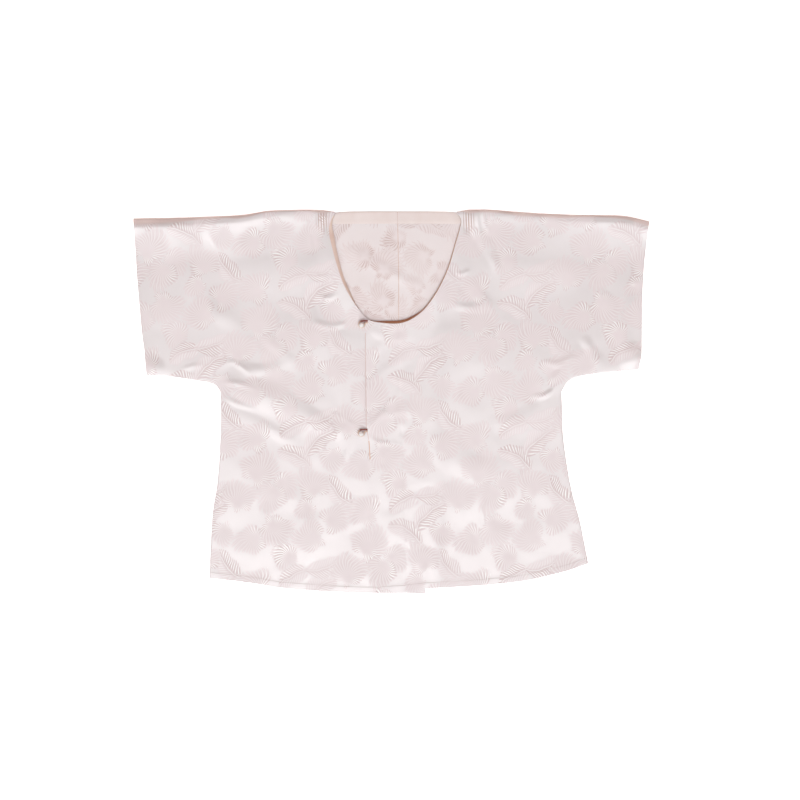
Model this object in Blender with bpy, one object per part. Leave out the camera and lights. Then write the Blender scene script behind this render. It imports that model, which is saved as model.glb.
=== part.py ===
"""Short-sleeved silk hanfu top with a round neck, laid flat with its front up.

Lengths are in millimetres here and are written to the meshes in metres. X runs to the viewer's right,
Y towards the neck, Z up from the surface that the back rests on. Each half of the garment is one length
of cloth, folded over the shoulder, with the sleeve cut in one with the body.
"""

import math

import bpy
import numpy as np
from mathutils import Vector
from mathutils.geometry import delaunay_2d_cdt

MM = 0.001

# Cloth and seams
CLOTH = 1.4  # wall of the silk panels
FACING = 1.0  # wall of the facings
GAP = 0.3  # room between two pieces that are sewn or lie on each other
HEM_DEPTH = 9.0  # turned-up hem
HEM_RAISE = 0.5  # step of the turned-up hem on the outside
HEM_RAMP = 2.0
FRAME_SHIFT = (-1.0, -0.5)  # brings the middle of the outline to the origin

# Grain of the meshes
EDGE_STEP = 12.0
NECK_STEP = 8.0
FACING_STEP = 10.0
FRONT_STEP = 15.0
BACK_STEP = 36.0
CORD_STEP = 1.1
CURVE_PARTS = 12  # straight parts that each span of a curve is worked out in
ROLL_STEPS = 6  # facets of the fold over the shoulder, seen from its end
POINT_ROOM = 2.5  # least room round an added point
LATTICE_ROOM = 0.55  # room round the lattice, as a share of its step
CUT_ROOM = 0.35  # a point nearer than this share of an edge step to a cut is dropped
SAME_PLACE = 0.05
TOLERANCE = 1e-5

# The outline of each half, as (out, up): out is measured from the middle line to that side, up from the
# middle of the length.
RIGHT_HALF = {
    "shoulder": (
        (80, 276.0), (101, 279.0), (150, 279.0), (180, 277.5), (216, 272.0), (288, 268.5), (374, 266.5),
    ),
    "cuff": ((374, 266.5), (369, 183.0), (366, 146.0), (362, 102.0), (358, 71.0), (355, 39.0)),
    "underarm": ((355, 39.0), (327, 38.0), (274, 30.0), (255, 25.0), (247, 15.0)),
    "side": ((247, 15.0), (246, -15.0), (247, -60.0), (251, -117.0), (258, -164.0), (263, -257.0)),
    "hem": ((263, -257.0), (200, -264.5), (161, -271.0), (96, -276.0), (41, -278.5), (-28, -279.0)),
}
LEFT_HALF = {
    "shoulder": (
        (96, 276.5), (116, 279.5), (152, 279.0), (194, 275.5), (263, 272.0), (339, 270.5), (376, 262.5),
    ),
    "cuff": ((376, 262.5), (368, 183.0), (366, 113.0), (365, 68.0), (361, 47.0)),
    "underarm": ((361, 47.0), (319, 43.5), (277, 38.0), (258, 30.0), (248, 14.0)),
    "side": (
        (248, 14.0), (249, -11.0), (250, -46.0), (255, -86.0), (263, -131.0), (275, -176.0), (287, -236.0),
    ),
    "hem": (
        (287, -236.0), (260, -245.5), (235, -252.0), (200, -260.0), (145, -266.5), (92, -270.0),
        (57, -272.0), (23, -275.0), (12, -276.0),
    ),
}

# The hem of each back, as (out, up): it follows the front's, less its last rows, and runs on past the back
# seam, so that the seam can end it.
RIGHT_BACK_HEM = (*RIGHT_HALF["hem"][:-1], (-20, -279.0))
LEFT_BACK_HEM = (*LEFT_HALF["hem"][:-2], (30, -276.0), (2, -277.5))

# The neck edge of the fronts, as (x, y), from the corner at the viewer's left to that at the right.
NECK_EDGE = (
    (-80, 271.5), (-86.5, 263.0), (-89.5, 249.0), (-85, 224.0), (-76, 192.0), (-67, 168.0), (-54, 145.0),
    (-42, 129.0), (-31, 118.5), (-13, 114.5), (10, 113.5), (27, 118.0), (46, 131.0), (61, 149.0), (73, 169.0),
    (85, 196.0), (94, 227.0), (101, 252.0), (102.5, 263.0), (96, 272.0),
)

# The back's neck edge runs level beside the back seam, then out to the shoulder.
BACK_NECK_TOP = 277.0
BACK_NECK_LEVEL = 45.0
BACK_NECK_TURN = (7.0, 276.3)  # how far inside the shoulder's corner it turns down, and at what height

# Lines that run down the middle of the garment, as (y, x).
BACK_SEAM = ((285, 10.0), (174, 12.0), (0, 11.5), (-290, 12.0))
FRONT_SEAM = ((125, 12.0), (-9, 13.0), (-68, 18.0), (-136, 20.0), (-248, 23.0), (-290, 23.5))
OVERLAP_EDGE = (
    (130, -37.5), (60, -37.0), (-34, -36.0), (-59, -32.0), (-165, -25.0), (-248, -17.0), (-290, -15.0),
)
UNDERLAP_EDGE = ((150, 50.0), (0, 50.0), (-290, 51.0))
OVERLAP_HEM = -278.0
OVERLAP_FOOT = -275.9  # where the strip's hem meets the seam
UNDERLAP_HEM = -279.5
UNDERLAP_FOOT = -278.8

# Facings: depth under the panel, and how far the facing shows past the neck edge on each side.
NECK_FACING_ROWS = (5.0, 10.0)
SHOWS_RIGHT = 3.5
SHOWS_LEFT = 1.6
FACING_TOP = 259.0
RIGHT_FACING_END = -50.0
LEFT_FACING_START = -16.0
END_SHARE = 0.3  # how much of the showing part is left at the ends of a neck facing
END_POINTS = 4.0
# The facing inside the back neck, as (x, top, depth), right of the back seam and left of it.
BACK_FACING = ((-79.0, 271.5, 9.0), (-74.0, 275.0, 16.0), (-40.0, 276.0, 17.5), (9.7, 276.3, 17.5))
BACK_FACING_FAR = ((10.3, 276.3, 17.5), (50.0, 276.3, 17.5), (88.0, 275.0, 16.0), (94.0, 271.5, 9.0))

# How the upper layer lies. Roll is the soft fold over the shoulder.
ROLL_REACH = 4.5
ROLL_LIFT = 4.8
ROLL_FADE = 24.0
ROLL_HOLD = 34.0  # the roll holds the cuff open over this distance
NECK_LIFT = 3.4
NECK_FADE = 20.0
COVER_START = 12.0  # the covered layer comes down flat over this distance before the overlap's edge
COVER_RUN = 10.0
STACK_START = 14.0  # the left front comes down past the underlap's edge
STACK_RUN = 26.0
FOLD_START = 8.0  # folds rise over this distance beside the facing
PIN_REACH = 17.0  # each fastening holds the fronts together
PIN_SHARE = 0.85
SEWN_FADE = 16.0  # the layers come together over this distance at side and underarm
CUFF_LIFT = 1.2
CUFF_FADE = 14.0
HEM_LIFT = 0.5
HEM_LIFT_FADE = 12.0
HEM_SHARE = 0.3  # how much of a fold is left at the hem
HEM_FADE = 20.0

# Ridges and troughs of the upper layer: start, middle, end, half width and height.
FOLDS = (
    ((-243, 33), (-168, 0), (-62, -52), 22, 3.8),
    ((-240, -22), (-187, -35), (-130, -70), 18, 2.2),
    ((-236, 60), (-208, 45), (-150, 52), 18, 1.8),
    ((-183, 92), (-160, 74), (-142, 52), 15, 1.6),
    ((-330, 120), (-292, 175), (-286, 238), 28, 1.8),
    ((-268, 140), (-240, 128), (-224, 104), 17, 1.8),
    ((-101, 276), (-100, 262), (-97, 244), 9, 1.6),
    ((-112, 274), (-112, 246), (-108, 214), 10, -1.2),
    ((-118, 190), (-104, 160), (-92, 118), 18, 1.5),
    ((-32, -46), (2, -24), (34, -12), 13, 1.8),
    ((-78, -56), (-62, -34), (-48, -44), 12, 1.2),
    ((-60, -66), (-66, -82), (-68, -100), 11, 1.0),
    ((118, 276), (119, 262), (122, 240), 10, 1.8),
    ((133, 238), (146, 216), (156, 190), 14, 1.9),
    ((104, 190), (126, 158), (146, 130), 18, 1.4),
    ((232, 22), (250, 44), (268, 70), 16, 2.8),
    ((280, 94), (294, 70), (304, 46), 15, 1.9),
    ((300, 164), (314, 146), (325, 122), 15, 1.3),
    ((352, 66), (338, 96), (350, 150), 15, 1.2),
    ((242, 6), (196, -26), (150, -34), 21, 1.6),
    ((66, -60), (110, -92), (172, -96), 27, 1.2),
    ((-205, -120), (-150, -142), (-92, -138), 27, 1.1),
    ((120, -180), (168, -196), (226, -180), 25, 1.1),
)
FLANK = 0.6  # a row of points follows each flank of a fold at this share of its half width
FOLD_ROOM = 1.5

# Wide low swellings: x, y, radius across, radius along and height.
SWELLS = (
    (-160, 205, 120, 60, 1.6),
    (190, 205, 120, 62, 1.8),
    (-140, -190, 100, 60, 1.4),
    (150, -120, 90, 90, 1.4),
    (-120, 90, 70, 60, 1.2),
    (110, 70, 70, 60, 1.2),
)

# Fastenings, as (name, x, y): a rouleau loop on the overlap and a ball button on the front below it. The
# cord's path is measured from there.
FASTENINGS = (("upper", -41.5, 111.5), ("lower", -42.0, -46.5))
LOOP_CORD = 2.2
LOOP_SIDES = 8
LOOP_PATH = (
    (8.5, 5.6), (2.5, 5.7), (-2.6, 4.7), (-4.6, 1.6), (-3.6, -2.2), (-0.2, -3.7), (3.0, -2.0), (4.0, 1.2),
    (5.4, 2.8), (8.5, 3.0),
)
BALL = 7.4
BALL_OFFSET = (-0.6, -0.4)
BALL_RISE = 3.9  # middle of the ball over the middle of the cord
SHANK = 1.8
BALL_RINGS = 9
BALL_SIDES = 18

SILK = ("white_silk_satin", (0.86, 0.79, 0.79), 0.42, 0.0)
PALE_FACING = ("cream_silk_facing", (0.84, 0.74, 0.68), 0.55, 0.0)
ROULEAU = ("beige_silk_rouleau", (0.70, 0.54, 0.44), 0.55, 0.0)
PEARL = ("pearl_ball", (0.90, 0.87, 0.83), 0.22, 0.1)


def smooth_line(rows, step):
    """Even points, about step apart, on a smooth curve through the rows."""
    knots = [np.array(row, float) for row in rows]
    ends = [2 * knots[0] - knots[1], *knots, 2 * knots[-1] - knots[-2]]
    fine = [knots[0]]
    for before, start, end, after in zip(ends, ends[1:], ends[2:], ends[3:]):
        span = math.dist(start, end)
        slope_in = (end - before) * span / (math.dist(before, start) + span)
        slope_out = (after - start) * span / (math.dist(end, after) + span)
        for t in np.linspace(0, 1, CURVE_PARTS + 1)[1:]:
            fine.append(
                start * (2 * t**3 - 3 * t**2 + 1)
                + slope_in * (t**3 - 2 * t**2 + t)
                + end * (3 * t**2 - 2 * t**3)
                + slope_out * (t**3 - t**2)
            )
    return even_points(np.array(fine), step)


def even_points(line, step):
    """The polyline divided again into equal parts of about step."""
    along = np.concatenate([[0.0], np.cumsum(np.linalg.norm(np.diff(line, axis=0), axis=1))])
    count = max(1, round(along[-1] / step))
    at = np.linspace(0, along[-1], count + 1)
    return np.stack([np.interp(at, along, line[:, axis]) for axis in (0, 1)], axis=1)


def at_level(line, y):
    """X of a table of (y, x) rows at the level y."""
    rows = sorted(line)
    return float(np.interp(y, [row[0] for row in rows], [row[1] for row in rows]))


def distance_to(line, points):
    """Distance of each point from a polyline."""
    start = line[:-1][None]
    run = (line[1:] - line[:-1])[None]
    offset = points[:, None] - start
    share = np.clip((offset * run).sum(2) / np.maximum((run**2).sum(2), 1e-9), 0, 1)
    return np.linalg.norm(offset - share[..., None] * run, axis=2).min(1)


def inside(loop, points):
    """Which points lie inside a closed loop."""
    x, y = points[:, 0], points[:, 1]
    found = np.zeros(len(points), bool)
    for (x0, y0), (x1, y1) in zip(loop, np.roll(loop, -1, axis=0)):
        if y0 != y1:
            crosses = (y0 > y) != (y1 > y)
            found ^= crosses & (x < (x1 - x0) * (y - y0) / (y1 - y0) + x0)
    return found


def soft_step(value):
    value = np.clip(value, 0, 1)
    return value * value * (3 - 2 * value)


def edge_line(rows, side):
    return smooth_line([(side * out, up) for out, up in rows], EDGE_STEP)


def half_edges(rows, side):
    """The named edges of one half in X and Y, side -1 for the viewer's left."""
    return {name: edge_line(points, side) for name, points in rows.items()}


EDGES_R = half_edges(RIGHT_HALF, -1)
EDGES_L = half_edges(LEFT_HALF, 1)
NECK = smooth_line(NECK_EDGE, NECK_STEP)
SEWN = [edges[name] for edges in (EDGES_R, EDGES_L) for name in ("underarm", "side")]
CUFFS = [EDGES_R["cuff"], EDGES_L["cuff"]]
SHOULDERS = np.concatenate([EDGES_R["shoulder"][::-1], EDGES_L["shoulder"]])
HEMS = np.concatenate([EDGES_R["hem"], EDGES_L["hem"][::-1]])
FOLD_LINES = [smooth_line((start, middle, end), EDGE_STEP) for start, middle, end, _, _ in FOLDS]
BACK_HEMS = {-1: edge_line(RIGHT_BACK_HEM, -1), 1: edge_line(LEFT_BACK_HEM, 1)}


def lift(points):
    """How far the upper layer stands off its lowest place: roll, neck, folds and swellings."""
    x, y = points[:, 0], points[:, 1]
    from_shoulder = np.interp(x, SHOULDERS[:, 0], SHOULDERS[:, 1]) - ROLL_REACH - y
    total = ROLL_LIFT * np.exp(-np.maximum(from_shoulder, 0) / ROLL_FADE)
    from_neck = distance_to(NECK, points)
    total = np.maximum(total, NECK_LIFT * np.exp(-((from_neck / NECK_FADE) ** 2)))
    folds_share = soft_step((from_neck - NECK_FACING_ROWS[-1]) / FOLD_START)
    for line, (_, _, _, width, height) in zip(FOLD_LINES, FOLDS):
        near = np.clip(1 - (distance_to(line, points) / width) ** 2, 0, 1)
        total = total + height * near**2 * folds_share
    for centre_x, centre_y, across, along, height in SWELLS:
        near = np.clip(1 - ((x - centre_x) / across) ** 2 - ((y - centre_y) / along) ** 2, 0, 1)
        total = total + height * near**2
    sewn = np.min([distance_to(line, points) for line in SEWN], axis=0)
    free = np.min([distance_to(line, points) for line in CUFFS], axis=0)
    hem = distance_to(HEMS, points)
    shoulder_share = np.exp(-((np.maximum(from_shoulder, 0) / ROLL_HOLD) ** 2))
    edge_share = soft_step(free / SEWN_FADE) * (1 - shoulder_share) + shoulder_share
    hem_share = HEM_SHARE + (1 - HEM_SHARE) * soft_step(hem / HEM_FADE)
    total = np.maximum(total, 0) * soft_step(sewn / SEWN_FADE) * edge_share * hem_share
    total = total + CUFF_LIFT * np.exp(-free / CUFF_FADE) * soft_step(sewn / SEWN_FADE)
    for _, pin_x, pin_y in FASTENINGS:
        total = total * (1 - PIN_SHARE * np.exp(-((x - pin_x) ** 2 + (y - pin_y) ** 2) / PIN_REACH**2))
    turned_up = HEM_RAISE * (1 - soft_step((hem - HEM_DEPTH) / HEM_RAMP))
    return total + turned_up + HEM_LIFT * np.exp(-hem / HEM_LIFT_FADE)


def covered_share(points):
    """1 where a panel is free to rise, falling to 0 where the overlap covers it."""
    edge = np.array([at_level(OVERLAP_EDGE, y) for y in points[:, 1]])
    return 1 - soft_step((points[:, 0] - edge + COVER_START) / COVER_RUN)


def stacked_share(points):
    """1 where the left front lies on the right one, falling to 0 past the edge of the underlap."""
    edge = np.array([at_level(UNDERLAP_EDGE, y) for y in points[:, 1]])
    return 1 - soft_step((points[:, 0] - edge - STACK_START) / STACK_RUN)


BACK_TOP = CLOTH
LOW_LEVEL = BACK_TOP + GAP
HIGH_RISE = CLOTH + GAP


def right_front_height(points):
    """Underside of the right front and of the underlap."""
    return LOW_LEVEL + lift(points) * covered_share(points)


def left_front_height(points):
    """Underside of the left front and of the overlap, which lie on the right front."""
    return LOW_LEVEL + lift(points) + HIGH_RISE * stacked_share(points)


def lattice(loop, step, extra):
    """Points inside a loop: the extra ones, and an even lattice that keeps clear of them and of the edge."""
    low, high = loop.min(0), loop.max(0)
    row_height = step * math.sqrt(0.75)
    grid = [
        (low[0] + (col + 0.5 * (row % 2)) * step, low[1] + row * row_height)
        for row in range(int((high[1] - low[1]) / row_height) + 1)
        for col in range(int((high[0] - low[0]) / step) + 1)
    ]
    closed = np.vstack([loop, loop[:1]])
    grid = np.array(grid)
    grid = grid[inside(loop, grid)]
    grid = grid[distance_to(closed, grid) > LATTICE_ROOM * step]
    kept = []
    for point in extra:
        spot = point[None]
        clear = not kept or np.linalg.norm(np.array(kept) - spot, axis=1).min() > POINT_ROOM
        if clear and inside(loop, spot)[0] and distance_to(closed, spot)[0] > POINT_ROOM:
            kept.append(point)
    if kept:
        kept = np.array(kept)
        gaps = np.linalg.norm(grid[:, None] - kept[None], axis=2).min(1)
        grid = np.vstack([kept, grid[gaps > LATTICE_ROOM * step]])
    return grid


def triangulated(loop, points):
    """Triangles, counter-clockwise from above, that fill the loop by way of the points."""
    everything = np.vstack([loop, points]) if len(points) else loop
    ring = list(range(len(loop)))
    found = delaunay_2d_cdt([Vector(point) for point in everything], [], [ring], 1, TOLERANCE)
    source = [origins[0] for origins in found[3]]
    faces = []
    for face in found[2]:
        a, b, c = (source[index] for index in face)
        turn = np.cross(everything[b] - everything[a], everything[c] - everything[a])
        if abs(turn) > TOLERANCE:
            faces.append((a, b, c) if turn > 0 else (a, c, b))
    return everything, faces


class Sheet:
    """A cloth wall: matching inner and outer points, and the faces between them."""

    def __init__(self):
        self.inner = []
        self.outer = []
        self.faces = []

    def add_points(self, points, inner_z, outer_z):
        first = len(self.inner)
        for (x, y), low, high in zip(points, inner_z, outer_z):
            self.inner.append((x, y, low))
            self.outer.append((x, y, high))
        return first

    def add_upper(self, loop, extra, step, height, wall):
        """A layer whose outside looks up."""
        points, faces = triangulated(loop, lattice(loop, step, extra))
        low = height(points)
        first = self.add_points(points, low, low + wall)
        self.faces += [tuple(first + index for index in face) for face in faces]
        return first

    def add_lower(self, loop, step, wall):
        """A layer that lies on the ground with its outside down."""
        points, faces = triangulated(loop, lattice(loop, step, []))
        first = self.add_points(points, np.full(len(points), wall), np.zeros(len(points)))
        self.faces += [tuple(first + index for index in face[::-1]) for face in faces]
        return first

    def add_roll(self, back_row, front_row, reach, wall):
        """The half round over the shoulder, from a row of the back to the row of the front above it."""
        rows = [back_row]
        for number in range(1, ROLL_STEPS):
            angle = math.pi * (number / ROLL_STEPS - 0.5)
            row = []
            for bottom, top in zip(back_row, front_row):
                x, y, _ = self.outer[bottom]
                middle = self.outer[top][2] / 2
                row.append(len(self.inner))
                out, up = math.cos(angle), math.sin(angle)
                self.outer.append((x, y + reach * out, middle + middle * up))
                self.inner.append((x, y + (reach - wall) * out, middle + (middle - wall) * up))
            rows.append(row)
        rows.append(front_row)
        for low, high in zip(rows, rows[1:]):
            for left in range(len(low) - 1):
                a, b, c, d = low[left], low[left + 1], high[left + 1], high[left]
                quad = (a, b, c, d) if self.outer[b][0] < self.outer[a][0] else (d, c, b, a)
                self.faces += [(quad[0], quad[1], quad[2]), (quad[0], quad[2], quad[3])]

    def build(self, name, material):
        """The closed wall as an object: outside, inside and a rim along every free edge."""
        count = len(self.inner)
        edges = {(a, b) for face in self.faces for a, b in zip(face, face[1:] + face[:1])}
        free = [(a, b) for a, b in edges if (b, a) not in edges]
        faces = list(self.faces)
        faces += [tuple(count + index for index in face[::-1]) for face in self.faces]
        for a, b in sorted(free):
            faces += [(b, a, count + a), (b, count + a, count + b)]
        add_object(name, self.outer + self.inner, faces, material)


def make_material(name, colour, roughness, metallic):
    material = bpy.data.materials.get(name) or bpy.data.materials.new(name)
    material.use_nodes = True
    shader = material.node_tree.nodes["Principled BSDF"]
    shader.inputs["Base Color"].default_value = (*colour, 1)
    shader.inputs["Roughness"].default_value = roughness
    shader.inputs["Metallic"].default_value = metallic
    material.diffuse_color = (*colour, 1)
    return material


def add_object(name, points, faces, material):
    mesh = bpy.data.meshes.new(name)
    shifted = [((x + FRAME_SHIFT[0]) * MM, (y + FRAME_SHIFT[1]) * MM, z * MM) for x, y, z in points]
    mesh.from_pydata(shifted, [], faces)
    mesh.materials.append(make_material(*material))
    mesh.validate()
    bpy.context.collection.objects.link(bpy.data.objects.new(name, mesh))


def loop_of(*lines):
    """One closed loop from lines that run end to end, without the points that repeat."""
    points = np.vstack(lines)
    keep = [0]
    for number in range(1, len(points)):
        if math.dist(points[number], points[keep[-1]]) > SAME_PLACE:
            keep.append(number)
    if math.dist(points[keep[-1]], points[0]) <= SAME_PLACE:
        keep.pop()
    return points[keep]


def crossing(line, table, offset):
    """First place where a polyline passes the line of a (y, x) table moved by offset in X."""
    side = [x - at_level(table, y) - offset for x, y in line]
    for number in range(len(line) - 1):
        if side[number] * side[number + 1] <= 0:
            share = side[number] / (side[number] - side[number + 1])
            return number, line[number] + share * (line[number + 1] - line[number])
    return None, None


def cut_line(line, table, offset, keep):
    """The part of a polyline before or after it passes a line down the garment."""
    number, spot = crossing(line, table, offset)
    kept = [*line[: number + 1], spot] if keep == "before" else [spot, *line[number + 1 :]]
    if len(kept) > 2:
        near_cut = 1 if keep == "after" else -2
        if math.dist(kept[near_cut], spot) < CUT_ROOM * EDGE_STEP:
            kept.pop(near_cut)
    return np.array(kept)


def down_line(table, offset, top, bottom):
    """Points down a (y, x) table between two points that already lie on it."""
    levels = np.linspace(top[1], bottom[1], max(2, round(abs(top[1] - bottom[1]) / EDGE_STEP) + 1))
    line = np.array([(at_level(table, y) + offset, y) for y in levels])
    line[0], line[-1] = top, bottom
    return line


def inset_rows(line, distances):
    """Rows of points beside a line, at the given distances to its left."""
    run = np.gradient(line, axis=0)
    across = np.stack([-run[:, 1], run[:, 0]], axis=1)
    across /= np.linalg.norm(across, axis=1)[:, None]
    return [line + across * distance for distance in distances]


def fold_points():
    """Points on each fold's crest and on its flanks, so that the mesh follows it."""
    rows = []
    for line, (_, _, _, width, _) in zip(FOLD_LINES, FOLDS):
        rows += [*line]
        for row in inset_rows(line, (-FLANK * width, FLANK * width)):
            rows += [*row]
    return [row for row in rows if distance_to(NECK, row[None])[0] > NECK_FACING_ROWS[-1] + FOLD_ROOM]


def hem_points(hem):
    """Points along the top of the turned-up hem."""
    rows = []
    for depth in (HEM_DEPTH, HEM_DEPTH + HEM_RAMP):
        rows += [point + np.array([0.0, depth]) for point in hem]
    return rows


def roll_line(edges):
    """The shoulder line drawn in by the reach of its roll."""
    return edges["shoulder"] - np.array([0.0, ROLL_REACH])


def half_loops(edges, side, neck_line, front_seam_offset):
    """The loops of one half's back and front, which both start with the shoulder row, neck end first."""
    shoulder = roll_line(edges)
    cuff = edges["cuff"].copy()
    cuff[0] = shoulder[-1]
    back_offset = side * GAP / 2
    back_hem = cut_line(BACK_HEMS[side], BACK_SEAM, back_offset, "before")
    neck_top = np.array([at_level(BACK_SEAM, BACK_NECK_TOP) + back_offset, BACK_NECK_TOP])
    corner = shoulder[0]
    level_end = (neck_top[0] + side * BACK_NECK_LEVEL, BACK_NECK_TOP)
    turn = (corner[0] - side * BACK_NECK_TURN[0], BACK_NECK_TURN[1])
    back_neck = smooth_line((neck_top, level_end, turn, corner), EDGE_STEP)
    back = loop_of(
        shoulder,
        cuff,
        edges["underarm"],
        edges["side"],
        back_hem,
        down_line(BACK_SEAM, back_offset, back_hem[-1], neck_top),
        back_neck,
    )
    front_hem = cut_line(edges["hem"], FRONT_SEAM, front_seam_offset, "before")
    front = loop_of(
        shoulder,
        cuff,
        edges["underarm"],
        edges["side"],
        front_hem,
        down_line(FRONT_SEAM, front_seam_offset, front_hem[-1], neck_line[0]),
        neck_line,
    )
    return shoulder, back, front, front_hem


def tidy_loop(loop):
    """Turns the loop counter-clockwise and keeps its first point first."""
    area = 0.5 * np.sum(np.cross(loop, np.roll(loop, -1, axis=0)))
    return loop if area > 0 else np.vstack([loop[:1], loop[:0:-1]])


def index_of(sheet, first, points):
    """Indices in the sheet of points that were added from first on."""
    placed = np.array([point[:2] for point in sheet.inner[first:]])
    return [first + int(np.linalg.norm(placed - point, axis=1).argmin()) for point in points]


def make_half(name, edges, side, neck_line, front_seam_offset, height, extra):
    """One half: its back, its front and the roll over the shoulder that joins them."""
    shoulder, back, front, front_hem = half_loops(edges, side, neck_line, front_seam_offset)
    sheet = Sheet()
    lower = sheet.add_lower(tidy_loop(back), BACK_STEP, CLOTH)
    back_row = index_of(sheet, lower, shoulder)
    upper = sheet.add_upper(tidy_loop(front), [*extra, *hem_points(front_hem)], FRONT_STEP, height, CLOTH)
    front_row = index_of(sheet, upper, shoulder)
    sheet.add_roll(back_row, front_row, ROLL_REACH, CLOTH)
    sheet.build(name, SILK)


def strip_sheet(rows, low, wall):
    """A narrow sheet from equal rows of points, with its underside at the given heights."""
    sheet = Sheet()
    points = np.vstack(rows)
    sheet.add_points(points, low, low + wall)
    length = len(rows[0])
    for row in range(len(rows) - 1):
        for col in range(length - 1):
            a = row * length + col
            quad = (a, a + 1, a + 1 + length, a + length)
            corner = [points[index] for index in quad]
            if np.cross(corner[1] - corner[0], corner[2] - corner[0]) < 0:
                quad = quad[::-1]
            sheet.faces += [(quad[0], quad[1], quad[2]), (quad[0], quad[2], quad[3])]
    return sheet


def panel_height_at(height, x, y):
    return float(height(np.array([(x, y)]))[0])


def make_cord(name, path, middle_height, material):
    """A closed cord of even thickness along a flat path, at the height of its middle."""
    centre = smooth_line(path, CORD_STEP)
    run = np.gradient(centre, axis=0)
    run /= np.linalg.norm(run, axis=1)[:, None]
    points = []
    faces = []
    for (x, y), (run_x, run_y) in zip(centre, run):
        for number in range(LOOP_SIDES):
            angle = 2 * math.pi * number / LOOP_SIDES
            across = LOOP_CORD / 2 * math.cos(angle)
            rise = LOOP_CORD / 2 * math.sin(angle)
            points.append((x - run_y * across, y + run_x * across, middle_height + rise))
    count = len(centre)
    for ring in range(count - 1):
        for number in range(LOOP_SIDES):
            following = (number + 1) % LOOP_SIDES
            a, b = ring * LOOP_SIDES + number, ring * LOOP_SIDES + following
            faces.append((a, b, b + LOOP_SIDES, a + LOOP_SIDES))
    faces.append(tuple(range(LOOP_SIDES - 1, -1, -1)))
    faces.append(tuple(range((count - 1) * LOOP_SIDES, count * LOOP_SIDES)))
    add_object(name, points, faces, material)


def make_ball(name, x, y, foot, middle):
    """A ball button with a short shank down to its panel."""
    radius = BALL / 2
    waist = math.asin(SHANK / BALL)
    profile = [(SHANK / 2, foot)]
    for number in range(BALL_RINGS):
        angle = waist + (math.pi - waist) * number / BALL_RINGS
        profile.append((radius * math.sin(angle), middle - radius * math.cos(angle)))
    points = []
    faces = []
    for reach, z in profile:
        for number in range(BALL_SIDES):
            angle = 2 * math.pi * number / BALL_SIDES
            points.append((x + reach * math.cos(angle), y + reach * math.sin(angle), z))
    for ring in range(len(profile) - 1):
        for number in range(BALL_SIDES):
            following = (number + 1) % BALL_SIDES
            a, b = ring * BALL_SIDES + number, ring * BALL_SIDES + following
            faces.append((a, b, b + BALL_SIDES, a + BALL_SIDES))
    faces.append(tuple(range(BALL_SIDES - 1, -1, -1)))
    top = len(points)
    points.append((x, y, middle + radius))
    last = (len(profile) - 1) * BALL_SIDES
    for number in range(BALL_SIDES):
        faces.append((last + number, last + (number + 1) % BALL_SIDES, top))
    add_object(name, points, faces, PEARL)


for old in list(bpy.data.objects):
    bpy.data.objects.remove(old)

seam_gap = GAP / 2
right_neck = cut_line(NECK, FRONT_SEAM, -seam_gap, "before")
left_neck = cut_line(NECK, FRONT_SEAM, seam_gap, "after")
overlap_neck = cut_line(right_neck, OVERLAP_EDGE, 0.0, "after")
underlap_neck = cut_line(left_neck, UNDERLAP_EDGE, 0.0, "before")

folds = fold_points()
neck_rows = inset_rows(NECK, [-distance for distance in NECK_FACING_ROWS])
neck_points = [point for row in neck_rows for point in row[1:-1]]

make_half("right_half", EDGES_R, -1, right_neck[::-1], -seam_gap, right_front_height, [*neck_points, *folds])
make_half("left_half", EDGES_L, 1, left_neck, seam_gap, left_front_height, [*neck_points, *folds])

# The strip sewn to the left front's middle edge, which laps over the right front.
overlap_top, overlap_corner = overlap_neck[-1], overlap_neck[0]
overlap_foot = np.array([at_level(FRONT_SEAM, OVERLAP_FOOT) - seam_gap, OVERLAP_FOOT])
overlap_low = np.array([at_level(OVERLAP_EDGE, OVERLAP_HEM), OVERLAP_HEM])
overlap_hem = even_points(np.array([overlap_foot, overlap_low]), EDGE_STEP)
overlap_loop = loop_of(
    overlap_neck,
    down_line(FRONT_SEAM, -seam_gap, overlap_top, overlap_foot),
    overlap_hem,
    down_line(OVERLAP_EDGE, 0.0, overlap_low, overlap_corner),
)
overlap = Sheet()
overlap_points = [*neck_points, *folds, *hem_points(overlap_hem)]
overlap.add_upper(tidy_loop(overlap_loop), overlap_points, FRONT_STEP, left_front_height, CLOTH)
overlap.build("overlap_strip", SILK)

# The strip sewn to the right front's middle edge, which lies under the left front.
underlap_start, underlap_corner = underlap_neck[0], underlap_neck[-1]
underlap_foot = np.array([at_level(FRONT_SEAM, UNDERLAP_FOOT) + seam_gap, UNDERLAP_FOOT])
underlap_low = np.array([at_level(UNDERLAP_EDGE, UNDERLAP_HEM), UNDERLAP_HEM])
underlap_hem = even_points(np.array([underlap_foot, underlap_low]), EDGE_STEP)
underlap_loop = loop_of(
    underlap_neck,
    down_line(UNDERLAP_EDGE, 0.0, underlap_corner, underlap_low),
    underlap_hem[::-1],
    down_line(FRONT_SEAM, seam_gap, underlap_foot, underlap_start),
)
underlap = Sheet()
underlap_points = [*neck_points, *hem_points(underlap_hem)]
underlap.add_upper(tidy_loop(underlap_loop), underlap_points, FRONT_STEP, right_front_height, CLOTH)
underlap.build("underlap_strip", SILK)

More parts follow.
